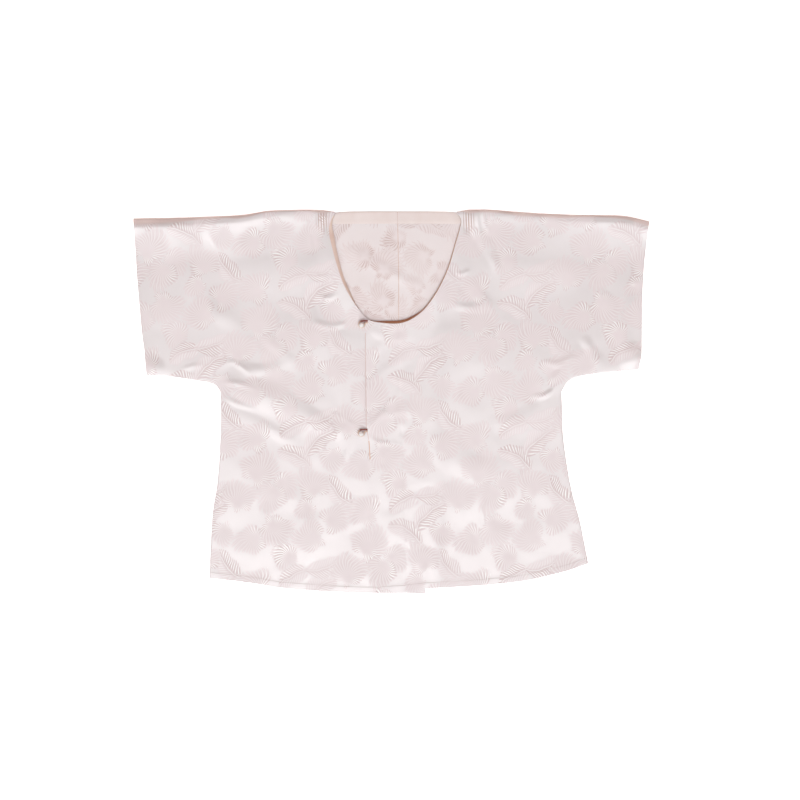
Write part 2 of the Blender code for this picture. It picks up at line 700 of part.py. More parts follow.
# The facings under the neck edge of each front. The right one ends short of the overlap.
neck_numbers = [number for number in range(1, len(NECK) - 1) if NECK[number][1] < FACING_TOP]
right_numbers = [number for number in neck_numbers if NECK[number][0] < RIGHT_FACING_END]
left_numbers = [number for number in neck_numbers if NECK[number][0] > LEFT_FACING_START]
for name, chosen, shows, height in (
    ("right_neck_facing", right_numbers, SHOWS_RIGHT, right_front_height),
    ("left_neck_facing", left_numbers, SHOWS_LEFT, left_front_height),
):
    line = NECK[chosen]
    from_end = np.minimum(np.arange(len(line)), np.arange(len(line))[::-1])
    ease = END_SHARE + (1 - END_SHARE) * soft_step(from_end / END_POINTS)[:, None]
    shown_row = line + (inset_rows(NECK, (1.0,))[0][chosen] - line) * shows * ease
    rows = [shown_row, line, *[row[chosen] for row in neck_rows]]
    top = np.concatenate([height(line), *[height(row) for row in rows[1:]]]) - GAP
    strip_sheet(rows, top - FACING, FACING).build(name, PALE_FACING)

# The facing inside the back neck, in two lengths that meet at the back seam.
for name, table in (("right_back_facing", BACK_FACING), ("left_back_facing", BACK_FACING_FAR)):
    top_line = smooth_line([(x, top) for x, top, _ in table], FACING_STEP)
    xs = [x for x, _, _ in table]
    depths = np.interp(top_line[:, 0], xs, [depth for _, _, depth in table])
    low_line = top_line - np.stack([np.zeros(len(depths)), depths], axis=1)
    rows = [low_line, top_line]
    low = np.full(2 * len(top_line), BACK_TOP + GAP)
    strip_sheet(rows, low, FACING).build(name, PALE_FACING)

for name, x, y in FASTENINGS:
    path = [(x + step_x, y + step_y) for step_x, step_y in LOOP_PATH]
    panel_top = max(panel_height_at(left_front_height, *place) for place in path) + CLOTH
    cord_middle = panel_top + GAP + LOOP_CORD / 2
    make_cord(name + "_loop", path, cord_middle, ROULEAU)
    ball_x, ball_y = x + BALL_OFFSET[0], y + BALL_OFFSET[1]
    foot = panel_height_at(right_front_height, ball_x, ball_y) + CLOTH + 2 * GAP
    make_ball(name + "_ball", ball_x, ball_y, foot, cord_middle + BALL_RISE)
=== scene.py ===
"""A short-sleeved silk hanfu top, laid flat on a white surface with its front up."""

import math

import bpy
import numpy as np
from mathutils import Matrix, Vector
from mathutils.geometry import delaunay_2d_cdt


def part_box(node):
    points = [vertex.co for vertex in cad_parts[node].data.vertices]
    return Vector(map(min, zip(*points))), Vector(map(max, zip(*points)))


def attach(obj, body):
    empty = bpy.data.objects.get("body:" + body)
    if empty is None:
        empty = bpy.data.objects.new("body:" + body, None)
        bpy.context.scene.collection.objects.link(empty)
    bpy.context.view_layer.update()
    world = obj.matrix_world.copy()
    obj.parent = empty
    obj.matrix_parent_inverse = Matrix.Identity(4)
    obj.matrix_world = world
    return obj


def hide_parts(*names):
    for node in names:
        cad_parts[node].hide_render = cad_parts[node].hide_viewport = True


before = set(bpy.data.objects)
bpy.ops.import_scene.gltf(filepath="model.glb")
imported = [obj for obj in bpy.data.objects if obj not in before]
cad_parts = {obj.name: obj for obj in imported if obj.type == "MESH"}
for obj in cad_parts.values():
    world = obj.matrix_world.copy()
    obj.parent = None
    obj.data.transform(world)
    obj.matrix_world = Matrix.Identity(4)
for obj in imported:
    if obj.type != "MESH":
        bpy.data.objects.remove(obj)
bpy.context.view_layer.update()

scene = bpy.context.scene

# The white table that the top lies on: a matt board, lit so that it stays white up to the cloth's edges.
TABLE_WIDTH = 8.0
TABLE_DROP = 0.0004  # how far its face lies below the cloth
TABLE_PAINT = {
    "Base Color": (0.92, 0.92, 0.92, 1),
    "Roughness": 0.9,
    "Emission Color": (1, 1, 1, 1),
    "Emission Strength": 0.8,
}


def new_finish(name, values):
    """A new material with these values in its shader, then its nodes and its shader."""
    material = bpy.data.materials.new(name)
    material.use_nodes = True
    tree = material.node_tree
    shader = tree.nodes["Principled BSDF"]
    for socket, value in values.items():
        shader.inputs[socket].default_value = value
    return material, tree, shader


bpy.ops.object.select_all(action="DESELECT")
bpy.ops.mesh.primitive_plane_add(size=TABLE_WIDTH, location=(0, 0, -TABLE_DROP))
table = bpy.context.active_object
table.name = "white_table"
table.data.materials.append(new_finish("white_table_paint", TABLE_PAINT)[0])

# Four softboxes. The key light hangs high on the hem side, a little to the viewer's left, and the one above
# it shows only as the silk's gleam. A low one lights the shoulders and a warm one glows beyond the neck.
# Columns: name, place, aim, width, height, power, spread in degrees, colour, lights the cloth, gleams in it.
WHITE_LIGHT = (1, 1, 1)
WARM_LIGHT = (1.0, 0.62, 0.54)
SOFTBOXES = (
    ("key_softbox", (-0.1, -1.25, 2.65), (0, 0, 0), 2.4, 1.9, 53.0, 180, WHITE_LIGHT, True, False),
    ("gleam_softbox", (-0.1, -0.8, 2.8), (0, 0, 0), 3.0, 1.7, 21.0, 180, WHITE_LIGHT, False, True),
    ("shoulder_softbox", (-0.1, -2.0, 1.5), (0, 0.42, 0), 2.4, 0.5, 1.0, 24, WHITE_LIGHT, True, False),
    ("wall_glow", (0, 1.7, 0.5), (0, 0.28, 0), 2.4, 0.5, 1.0, 60, WARM_LIGHT, True, False),
)
for name, place, aim, width, height, power, spread, colour, lights_cloth, gleams in SOFTBOXES:
    lamp = bpy.data.lights.new(name, "AREA")
    lamp.shape = "RECTANGLE"
    lamp.size = width
    lamp.size_y = height
    lamp.energy = power
    lamp.spread = math.radians(spread)
    lamp.color = colour
    holder = bpy.data.objects.new(name, lamp)
    holder.visible_diffuse = lights_cloth
    holder.visible_glossy = gleams
    holder.location = place
    holder.rotation_euler = (Vector(aim) - Vector(place)).to_track_quat("-Z", "Y").to_euler()
    scene.collection.objects.link(holder)

# Daylight fills the room from the hem side; beyond the neck the room is a dim warm brown.
ROOM_TONES = ((0.0, (1.0, 0.98, 0.97, 1)), (0.6, (0.42, 0.20, 0.14, 1)))  # place toward the neck, colour
ROOM_BRIGHTNESS = 0.41


class Wire:
    """A value in a material. Sums on it add the nodes that work them out."""

    def __init__(self, tree, socket):
        self.tree = tree
        self.socket = socket

    def node(self, kind, settings, inputs, output=0):
        """Any node: its settings first, then the values or wires of its sockets."""
        made = self.tree.nodes.new(kind)
        for name, value in settings.items():
            if name == "stops":
                ramp = made.color_ramp
                while len(ramp.elements) < len(value):
                    ramp.elements.new(0.5)
                for stop, (place, colour) in zip(ramp.elements, value):
                    stop.position = place
                    stop.color = colour
            else:
                setattr(made, name, value)
        for name, value in inputs.items():
            if isinstance(value, Wire):
                self.tree.links.new(value.socket, made.inputs[name])
            else:
                made.inputs[name].default_value = value
        return Wire(self.tree, made.outputs[output])

    def maths(self, operation, *values):
        """One Math node on the values or wires that it is given."""
        return self.node("ShaderNodeMath", {"operation": operation}, dict(enumerate(values)))

    def times_plus(self, factor, addend):
        """This value times a factor, plus an addend, in a single node."""
        return self.maths("MULTIPLY_ADD", self, factor, addend)

    def __add__(self, other):
        return self.maths("ADD", self, other)

    def __radd__(self, other):
        return self.maths("ADD", other, self)

    def __sub__(self, other):
        return self.maths("SUBTRACT", self, other)

    def __rsub__(self, other):
        return self.maths("SUBTRACT", other, self)

    def __mul__(self, other):
        return self.maths("MULTIPLY", self, other)

    def __rmul__(self, other):
        return self.maths("MULTIPLY", other, self)

    def __truediv__(self, other):
        return self.maths("DIVIDE", self, other)

    def between(self, low, high):
        """0 below low, 1 above high, and a soft slope from one to the other."""
        ends = {"Value": self, "From Min": low, "From Max": high}
        return self.node("ShaderNodeMapRange", {"interpolation_type": "SMOOTHSTEP"}, ends)

    def part(self, axis):
        """The X, Y or Z of a vector, for axis 0, 1 or 2."""
        return self.node("ShaderNodeSeparateXYZ", {}, {"Vector": self}, axis)

    def blend(self, low, high):
        """A colour that goes from low to high as this value goes from 0 to 1."""
        return self.node("ShaderNodeMix", {"data_type": "RGBA"}, {0: self, 6: low, 7: high}, 2)

    def shift(self, operation, other):
        """A vector added to, taken from or multiplied with another."""
        return self.node("ShaderNodeVectorMath", {"operation": operation}, {0: self, 1: other})

    def noise(self, scale, detail=2.0, output="Fac"):
        """Uneven tones over a flat place, finer as the scale grows."""
        inputs = {"Vector": self, "Scale": scale, "Detail": detail}
        return self.node("ShaderNodeTexNoise", {"noise_dimensions": "2D"}, inputs, output)


room = bpy.data.worlds.new("studio_room")
room.use_nodes = True
toward_neck = Wire(room.node_tree, None).node("ShaderNodeTexCoord", {}, {}, "Generated").part(1)
walls = toward_neck.node("ShaderNodeValToRGB", {"stops": ROOM_TONES}, {"Fac": toward_neck})
room_light = room.node_tree.nodes["Background"]
room_light.inputs["Strength"].default_value = ROOM_BRIGHTNESS
room.node_tree.links.new(walls.socket, room_light.inputs["Color"])
scene.world = room
scene.view_settings.view_transform = "Standard"

# The camera hangs straight above the table. Its square picture takes in FRAME_WIDTH metres of it.
FRAME_WIDTH = 1.165
CAMERA_HEIGHT = 4.0
VIEW_CENTRE = (0.0128, 0.0017)
SENSOR = 36.0

lens = bpy.data.cameras.new("overhead_camera")
lens.sensor_width = SENSOR
lens.lens = SENSOR * CAMERA_HEIGHT / FRAME_WIDTH
lens.clip_end = 20.0
camera = bpy.data.objects.new("overhead_camera", lens)
camera.location = (*VIEW_CENTRE, CAMERA_HEIGHT)
scene.collection.objects.link(camera)
scene.camera = camera

# The two halves: white silk satin with a tone-on-tone jacquard, each half one length of cloth for front,
# sleeve and back, folded over the shoulder and seamed at side and underarm, with a turned-up hem.
# Lengths here are in millimetres, with X and Y as in the solids before they are centred.
MM = 0.001
SHIFT = (-1.0, -0.5)  # centres the garment on the table
WALL = 1.4  # the solids' wall, which the cloth's outside follows
GAP = 0.3
FRONT_TOP = 2 * WALL + GAP  # the outside of a front where it lies flat on the back
SILK_THICKNESS = 0.7
FRONT_STEP = 2.7  # spacing of the points on the fronts, on the backs and along the edges
BACK_STEP = 7.0
EDGE_STEP = 2.7
CLEAR_OF_EDGE = 0.6  # no point inside lies nearer to an edge than this share of the spacing
SEAM_REACH = 1.0  # how far a sewn seam rounds out
SEAM_SIDE = 0.01  # room on each side of a seam line
ROUND_STEPS = 8
SAME_PLACE = 0.05  # points of an outline nearer than this are one
UNEVEN_CELLS = 64
CREASE_STEP = 6.0
SMOOTH_ANGLE = math.radians(40)
HEM_DEPTH = 9.0
NO_HEM = 50.0  # stands for a distance far from any hem
THREAD_THICKNESS = 0.1
# The back seam's line is its sewing with painted shade of the seam in the same colour.
SEAM_THREAD_AND_SHADE = (276.0, -270.0, 0.75)  # top, foot and width of the back seam's line of sewing
SEAM_THREAD_ROOM = 0.05
RIGHT, LEFT = -1, 1  # the wearer's sides, as the sign of X

# Edges as (distance from the middle, y), from the corner of the neck round to the middle of the hem.
RIGHT_HALF = {
    "shoulder": ((80, 276.0), (101, 279.0), (150, 279.0), (180, 277.5), (216, 272.0), (288, 268.5),
                 (374, 266.5)),
    "cuff": ((374, 266.5), (369, 183.0), (366, 146.0), (362, 102.0), (358, 71.0), (355, 39.0)),
    "underarm": ((355, 39.0), (327, 38.0), (274, 30.0), (255, 25.0), (247, 15.0)),
    "side": ((247, 15.0), (246, -15.0), (247, -60.0), (251, -117.0), (258, -164.0), (263, -257.0)),
    "hem": ((263, -257.0), (200, -264.5), (161, -271.0), (96, -276.0), (41, -278.5), (-28, -279.0)),
}
LEFT_HALF = {
    "shoulder": ((96, 276.5), (116, 279.5), (152, 279.0), (194, 275.5), (263, 272.0), (339, 270.5),
                 (376, 262.5)),
    "cuff": ((376, 262.5), (368, 183.0), (366, 113.0), (365, 68.0), (361, 47.0)),
    "underarm": ((361, 47.0), (319, 43.5), (277, 38.0), (258, 30.0), (248, 14.0)),
    "side": ((248, 14.0), (249, -11.0), (250, -46.0), (255, -86.0), (263, -131.0), (275, -176.0),
             (287, -236.0)),
    "hem": ((287, -236.0), (260, -245.5), (235, -252.0), (200, -260.0), (145, -266.5), (92, -270.0),
            (57, -272.0), (23, -275.0), (12, -276.0)),
}
NECK_EDGE = (
    (-80, 275.0), (-86.5, 264.0), (-89.5, 249.0), (-85, 224.0), (-76, 192.0), (-67, 168.0), (-54, 145.0),
    (-42, 129.0), (-31, 118.5), (-13, 114.5), (10, 113.5), (27, 118.0), (46, 131.0), (61, 149.0), (73, 169.0),
    (85, 196.0), (94, 227.0), (101, 252.0), (102.5, 264.0), (96, 275.5),
)
BACK_NECK_LEVEL = 277.0
BACK_NECK_FLAT = 45.0  # how far from the back seam that edge stays level
BACK_NECK_CORNER = (7.0, 276.3)  # how far inside the neck's corner, and at what level, it has dropped
BACK_HEM_ENDS = {RIGHT: (16.0, -277.8), LEFT: (6.0, -277.8)}  # past the back seam, where the hem is cut
# How far the roll over the shoulder reaches past the front's edge: least at the corners of the neck.
SHOULDER_REACH = ((-115, 4.5), (-80, 1.0), (96, 1.0), (131, 4.5))
# How far the painted warm shade of the shoulder's fold reaches down the front, as (x, breadth).
FOLD_SHADE = (
    (-376, 10.5), (-340, 10.0), (-310, 8.5), (-290, 6.0), (-262, 4.4), (-240, 4.2), (-222, 6.4), (-205, 5.6),
    (-190, 3.4), (-150, 2.6), (-120, 3.0), (-100, 6.5), (-84, 0.1), (100, 0.1), (114, 7.0), (130, 5.0),
    (160, 5.4), (190, 7.2), (215, 6.6), (245, 6.8), (275, 4.6), (300, 4.2), (340, 6.0), (376, 9.0),
)
# Lines down the garment, as (y, x).
BACK_SEAM = ((285, 10.0), (174, 12.0), (0, 11.5), (-290, 12.0))
FRONT_SEAM = ((125, 12.0), (-9, 13.0), (-68, 18.0), (-136, 20.0), (-248, 23.0), (-290, 23.5))
OVERLAP_EDGE = (
    (130, -37.5), (60, -37.0), (-34, -36.0), (-59, -32.0), (-165, -25.0), (-248, -17.0), (-290, -15.0),
)
UNDERLAP_EDGE = ((150, 50.0), (0, 50.0), (-290, 51.0))
FASTENINGS = (("upper", -41.5, 111.5), ("lower", -42.0, -46.5))

# Creases: start, middle, end, half width, height. A negative height is a trough.
CREASES = (
    ((-243, 33), (-168, 0), (-62, -52), 27, 1.6),
    ((-240, -19), (-195, -32), (-130, -66), 18, 0.7),
    ((-236, 60), (-208, 45), (-150, 52), 19, 0.8),
    ((-183, 92), (-160, 72), (-142, 52), 15, 0.7),
    ((-330, 120), (-292, 175), (-286, 238), 32, 0.9),
    ((-268, 140), (-240, 122), (-222, 108), 20, 0.8),
    ((-101, 276), (-100, 262), (-97, 244), 8, 1.1),
    ((-112, 274), (-112, 246), (-108, 214), 9, -0.8),
    ((-118, 190), (-104, 160), (-92, 118), 19, 0.7),
    ((-36, -44), (-10, -20), (32, -10), 15, 1.1),
    ((-78, -48), (-62, -34), (-48, -42), 11, 0.6),
    ((-60, -66), (-66, -82), (-68, -100), 10, 0.5),
    ((119, 276), (120, 262), (123, 240), 9, 1.1),
    ((133, 238), (146, 216), (156, 190), 14, 1.0),
    ((104, 190), (126, 158), (146, 130), 20, 0.7),
    ((232, 22), (250, 44), (268, 70), 17, 1.6),
    ((280, 94), (294, 70), (304, 46), 16, 0.9),
    ((300, 164), (314, 146), (325, 122), 17, 0.7),
    ((352, 66), (338, 96), (350, 150), 17, 0.7),
    ((242, 6), (196, -26), (150, -34), 24, 0.8),
    ((66, -60), (110, -92), (172, -96), 30, 0.7),
    ((-205, -120), (-150, -142), (-92, -138), 30, 0.6),
    ((120, -180), (168, -196), (226, -180), 28, 0.6),
    # small gathers below the corners of the neck
    ((-106, 277), (-106, 264), (-104, 250), 3.5, 1.1),
    ((-96, 276), (-95, 266), (-94, 254), 3.2, 1.0),
    ((-116, 277), (-117, 262), (-114, 244), 4.0, 1.1),
    ((112, 278), (112, 266), (111, 252), 3.5, 1.1),
    ((126, 278), (127, 262), (130, 244), 4.0, 1.2),
    ((135, 277), (137, 262), (142, 248), 4.0, 0.9),
    # short puckers beside the neck edge
    ((-108, 184), (-100, 180), (-91, 183), 6, 0.7),
    ((-104, 154), (-92, 150), (-78, 156), 7, 0.8),
    ((-112, 116), (-90, 109), (-66, 113), 9, 0.8),
    ((112, 190), (104, 185), (96, 187), 6, 0.9),
    ((140, 140), (118, 136), (88, 142), 12, 0.7),
    ((30, 100), (0, 88), (-28, 72), 13, 0.5),
    ((22, 62), (-6, 48), (-26, 20), 13, 0.5),
    # fine creases that fan out from the armpits, the fastenings and the cuffs
    ((-252, 26), (-222, 26), (-196, 18), 6, 0.7),
    ((-246, 8), (-222, -4), (-196, -12), 6, 0.7),
    ((-250, 48), (-232, 58), (-206, 40), 7, 0.4),
    ((-262, 36), (-258, 60), (-256, 88), 8, 0.7),
    ((-228, 58), (-214, 50), (-200, 38), 6, 0.3),
    ((-300, 46), (-286, 52), (-270, 50), 8, 0.7),
    ((246, 20), (226, 10), (202, 6), 6, 0.7),
    ((224, 58), (242, 54), (262, 64), 8, 1.3),
    ((268, 52), (250, 30), (218, 2), 7, 0.8),
    ((300, 62), (298, 52), (292, 46), 7, 0.8),
    ((368, 176), (360, 172), (350, 174), 8, 0.9),
    ((-48, -38), (-66, -26), (-92, -16), 7, 0.4),
    ((-30, -38), (-4, -8), (22, 22), 8, 0.5),
    ((-34, -52), (-14, -60), (14, -62), 7, 0.4),
    ((-30, 106), (-6, 92), (24, 88), 9, 0.3),
)
# Creases of the back that show inside the neck, in the same columns.
BACK_CREASES = (
    ((-66, 222), (-8, 190), (46, 160), 15, 1.3),
    ((-4, 182), (22, 178), (48, 172), 8, 0.9),
    ((-52, 180), (-20, 150), (8, 138), 16, 0.6),
)
# The lower corners of the cuffs stand up a little: x, y, radius across, radius along, height.
CUFF_CORNERS = ((-350, 46, 26, 26, 2.8), (356, 62, 28, 28, 3.2))
# Wide low swellings, in the same columns.
SWELLS = (
    (-160, 205, 120, 60, 1.6),
    (190, 205, 120, 62, 1.8),
    (-140, -190, 100, 60, 0.9),
    (150, -120, 90, 90, 1.0),
    (-120, 90, 70, 60, 1.2),
    (110, 70, 70, 60, 1.2),
)
RIPPLES = ((62.0, 0.40, 11), (31.0, 0.22, 12), (13.0, 0.09, 13))  # spacing, height, seed
# The roll over the shoulder, each as (x, size): its height, how far it falls off again at the fold itself,
# and how far from the fold that fall reaches.
ROLL_HEIGHT = ((-370, 8.6), (-250, 7.6), (-150, 6.6), (-90, 4.6), (100, 4.4), (250, 5.4), (370, 6.8))
ROLL_FALL = ((-370, 4.6), (-270, 2.2), (-180, 1.0), (-100, 0.5), (100, 0.5), (250, 1.0), (370, 2.6))
ROLL_ROUNDING = ((-370, 6.0), (-270, 4.5), (-180, 3.5), (-90, 3.0), (100, 3.0), (250, 3.5), (370, 5.0))
ROLL_REACH = 62.0  # how far down the front the roll dies away
NECK_RISE = ((112, 1.3), (170, 2.4))  # height of the neck edge, as (y, height)
NECK_REACH = 24.0
NECK_CALM = (3.0, 8.0)  # creases are gone this near the neck edge, and back over this slope
LOWEST = -0.6
SEWN_SLOPE = 20.0  # how far from a sewn seam the front comes down to the back
CUFF_SLOPE = 16.0
SHOULDER_BAND = 34.0  # below the fold, where the cuff keeps its height
HEM_SLOPE = 20.0
HEM_SHARE = 0.35  # how much of its height a crease keeps at the hem
CUFF_LIP = (1.2, 14.0)  # height and reach of the cuff's open edge
FASTENED = (0.85, 17.0)  # share of the height that a fastening holds down, and how far round it
HEM_STEP = (0.2, 1.8)  # height and slope of the step where the hem is turned up
SEAM_PUCKERS = (0.25, 9.0, 21, 9.0)  # height, spacing, seed and reach beside the front seam
SEAM_GROOVE = (0.12, 1.6)  # depth and half width
FRONT_SEAM_TOP = 112.0
SEWN_DIP = (0.2, 3.0)  # depth and reach
WIDTH_SWAY = 0.18  # share of its width that a crease gains and loses along its run
HEIGHT_SWAY = 0.15
TAPER_POWER = 0.45
LEAST_TAPER = 0.25
COVERED = (12.0, 10.0)  # the right front lies flat this far before the overlap's edge, and over this slope
STACKED = (12.0, 26.0)  # the left front comes down this far past the underlap's edge, and over this slope
RUCK_CENTRE = (0.0, 195.0)  # where the back rucks up inside the neck
RUCK_REACH = (85.0, 80.0)


def smooth_line(rows, step):
    """Even points, about step apart, on a smooth curve through the rows."""
    knots = [np.array(row, float) for row in rows]
    ends = [2 * knots[0] - knots[1], *knots, 2 * knots[-1] - knots[-2]]
    fine = [knots[0]]
    for before, start, end, after in zip(ends, ends[1:], ends[2:], ends[3:]):
        span = math.dist(start, end)
        slope_in = (end - before) * span / (math.dist(before, start) + span)
        slope_out = (after - start) * span / (math.dist(end, after) + span)
        for t in np.linspace(0, 1, 25)[1:]:
            fine.append(
                start * (2 * t**3 - 3 * t**2 + 1)
                + slope_in * (t**3 - 2 * t**2 + t)
                + end * (3 * t**2 - 2 * t**3)
                + slope_out * (t**3 - t**2)
            )
    return even_points(np.array(fine), step)


def step_lengths(line):
    """Distances from each point of a polyline to the next."""
    return np.linalg.norm(np.diff(line, axis=0), axis=1)


def even_points(line, step):
    """Points at even distances, about step apart, along a polyline."""
    along = np.concatenate([[0.0], np.cumsum(step_lengths(line))])
    count = max(1, round(along[-1] / step))
    at = np.linspace(0, along[-1], count + 1)
    return np.stack([np.interp(at, along, line[:, axis]) for axis in (0, 1)], axis=1)


def read_off(rows, at):
    """The second column of a table, read off where its first column has the given values."""
    first, second = np.array(sorted(map(tuple, rows)), float).T
    return np.interp(at, first, second)


def beside(line, points):
    """For each point: its distance from a polyline, and how far along the line it lies, in millimetres."""
    steps = step_lengths(line)
    reach = np.concatenate([[0.0], np.cumsum(steps)])
    distance = np.empty(len(points))
    along = np.empty(len(points))
    many = 4000
    for first in range(0, len(points), many):
        block = points[first : first + many]
        offset = block[:, None] - line[None, :-1]
        run = (line[1:] - line[:-1])[None]
        share = np.clip((offset * run).sum(2) / np.maximum(steps**2, 1e-9), 0, 1)
        gap = np.linalg.norm(offset - share[..., None] * run, axis=2)
        best = gap.argmin(1)
        rows = np.arange(len(block))
        distance[first : first + many] = gap[rows, best]
        along[first : first + many] = reach[best] + share[rows, best] * steps[best]
    return distance, along


def soft_step(value):
    """0 below 0, 1 above 1, and a soft slope between them."""
    value = np.clip(value, 0, 1)
    return value * value * (3 - 2 * value)


def uneven(points, spacing, seed):
    """Smooth uneven values between -1 and 1, about one hump for each spacing."""
    values = np.random.default_rng(seed).uniform(-1, 1, (UNEVEN_CELLS, UNEVEN_CELLS))
    place = points / spacing
    low = np.floor(place).astype(int)
    share = soft_step(place - low)
    x0, y0 = (low % UNEVEN_CELLS).T
    x1, y1 = (x0 + 1) % UNEVEN_CELLS, (y0 + 1) % UNEVEN_CELLS
    bottom = values[x0, y0] * (1 - share[:, 0]) + values[x1, y0] * share[:, 0]
    top = values[x0, y1] * (1 - share[:, 0]) + values[x1, y1] * share[:, 0]
    return bottom * (1 - share[:, 1]) + top * share[:, 1]


HALVES = {RIGHT: RIGHT_HALF, LEFT: LEFT_HALF}
EDGES = {
    side: {name: smooth_line([(side * out, y) for out, y in rows], EDGE_STEP) for name, rows in half.items()}
    for side, half in HALVES.items()
}
NECK = smooth_line(NECK_EDGE, EDGE_STEP)
SHOULDERS = np.concatenate([EDGES[RIGHT]["shoulder"][::-1], EDGES[LEFT]["shoulder"]])
HEMS = np.concatenate([EDGES[RIGHT]["hem"], EDGES[LEFT]["hem"][::-1]])


def from_edges(points, *names):
    """How far each point is from the nearest of the named edges of both halves."""
    lines = [edges[name] for edges in EDGES.values() for name in names]
    return np.min([beside(line, points)[0] for line in lines], axis=0)


def crease_height(points, creases):
    """Sum of the creases: each swells and narrows along its run and dies away at its ends."""
    total = np.zeros(len(points))
    for number, (start, middle, end, half_width, height) in enumerate(creases):
        line = smooth_line((start, middle, end), CREASE_STEP)
        low = line.min(0) - half_width
        high = line.max(0) + half_width
        near = np.where(((points > low) & (points < high)).all(1))[0]
        if len(near) == 0:
            continue
        distance, along = beside(line, points[near])
        share = along / step_lengths(line).sum()
        width = half_width * (1 - WIDTH_SWAY + WIDTH_SWAY * np.sin(share * 5.0 + number))
        body = np.clip(1 - (distance / width) ** 2, 0, 1) ** 2
        taper = np.maximum(np.clip(4 * share * (1 - share), 0, 1) ** TAPER_POWER, LEAST_TAPER)
        sway = 1 - HEIGHT_SWAY + HEIGHT_SWAY * np.sin(share * 9.0 + 2 * number)
        total[near] += height * body * taper * sway
    return total


def swelling(points, rows):
    """Sum of low round swellings: x, y, radius across, radius along and height of each."""
    x, y = points.T
    total = np.zeros(len(points))
    for centre_x, centre_y, across, along, height in rows:
        near = np.clip(1 - ((x - centre_x) / across) ** 2 - ((y - centre_y) / along) ** 2, 0, 1)
        total += height * near**2
    return total


def shoulder_roll(x, below_fold):
    """Height of the roll over the shoulder, which falls off again at the fold itself."""
    fall = read_off(ROLL_FALL, x) * np.exp(-((below_fold / read_off(ROLL_ROUNDING, x)) ** 2))
    return read_off(ROLL_HEIGHT, x) * (1 - np.clip(below_fold / ROLL_REACH, 0, 1)) ** 1.5 - fall


def seam_puckers(points):
    """Height beside the front seam: a fine groove with small puckers along it."""
    x, y = points.T
    off_seam = np.abs(x - read_off(FRONT_SEAM, y))
    height, spacing, seed, reach = SEAM_PUCKERS
    puckers = height * uneven(points, spacing, seed) * np.exp(-((off_seam / reach) ** 2))
    depth, half_width = SEAM_GROOVE
    return (puckers - depth * np.exp(-((off_seam / half_width) ** 2))) * (y < FRONT_SEAM_TOP)


def lift(points):
    """How far the front stands off its lowest place: roll, neck edge, creases, swellings and seams."""
    x, y = points.T
    below_fold = np.maximum(read_off(SHOULDERS, x) - read_off(SHOULDER_REACH, x) - y, 0)
    from_neck = beside(NECK, points)[0]
    total = shoulder_roll(x, below_fold)
    total = np.maximum(total, read_off(NECK_RISE, y) * np.exp(-((from_neck / NECK_REACH) ** 2)))
    margin, slope = NECK_CALM
    total = total + crease_height(points, CREASES) * soft_step((from_neck - margin) / slope)
    total = total + swelling(points, SWELLS)
    for spacing, height, seed in RIPPLES:
        total = total + height * uneven(points, spacing, seed)
    from_sewn = from_edges(points, "underarm", "side")
    from_cuff = from_edges(points, "cuff")
    from_hem = beside(HEMS, points)[0]
    near_fold = np.exp(-((below_fold / SHOULDER_BAND) ** 2))
    cuff_share = soft_step(from_cuff / CUFF_SLOPE) * (1 - near_fold) + near_fold
    hem_share = HEM_SHARE + (1 - HEM_SHARE) * soft_step(from_hem / HEM_SLOPE)
    total = np.maximum(total, LOWEST) * soft_step(from_sewn / SEWN_SLOPE) * cuff_share * hem_share
    height, reach = CUFF_LIP
    total = total + height * np.exp(-from_cuff / reach) * soft_step(from_sewn / reach)
    hold, reach = FASTENED
    for _, pin_x, pin_y in FASTENINGS:
        total = total * (1 - hold * np.exp(-((x - pin_x) ** 2 + (y - pin_y) ** 2) / reach**2))
    height, slope = HEM_STEP
    total = total + height * (1 - soft_step((from_hem - HEM_DEPTH) / slope))
    total = total + seam_puckers(points) + swelling(points, CUFF_CORNERS)
    depth, reach = SEWN_DIP
    return total - depth * np.exp(-from_sewn / reach)


def right_front(points):
    """Outside of the right front, which comes down flat before the overlap covers it."""
    margin, slope = COVERED
    past_edge = points[:, 0] - read_off(OVERLAP_EDGE, points[:, 1]) + margin
    return FRONT_TOP + lift(points) * (1 - soft_step(past_edge / slope))


def left_front(points):
    """Outside of the left front, which lies on the right one up to the underlap's edge."""
    margin, slope = STACKED
    past_edge = points[:, 0] - read_off(UNDERLAP_EDGE, points[:, 1]) - margin
    return FRONT_TOP + lift(points) + (WALL + GAP) * (1 - soft_step(past_edge / slope))


def enclosed(loop, points):
    """Which of the points lie inside a closed loop."""
    x, y = points[:, 0], points[:, 1]
    found = np.zeros(len(points), bool)
    for (x0, y0), (x1, y1) in zip(loop, np.roll(loop, -1, axis=0)):
        if y0 != y1:
            crosses = (y0 > y) != (y1 > y)
            found ^= crosses & (x < (x1 - x0) * (y - y0) / (y1 - y0) + x0)
    return found


def loop_of(*lines):
    """One closed counter-clockwise loop from lines that run end to end."""
    points = np.vstack(lines)
    kept = [points[0]]
    for point in points[1:]:
        if math.dist(point, kept[-1]) > SAME_PLACE:
            kept.append(point)
    if math.dist(kept[-1], kept[0]) <= SAME_PLACE:
        kept.pop()
    loop = np.array(kept)
    after = np.roll(loop, -1, axis=0)
    area = (loop[:, 0] * after[:, 1] - loop[:, 1] * after[:, 0]).sum()
    return loop if area > 0 else loop[::-1]


def turn_of(a, b, c):
    """Twice the area of a triangle seen from above, positive where its corners run counter-clockwise."""
    return (b[0] - a[0]) * (c[1] - a[1]) - (b[1] - a[1]) * (c[0] - a[0])


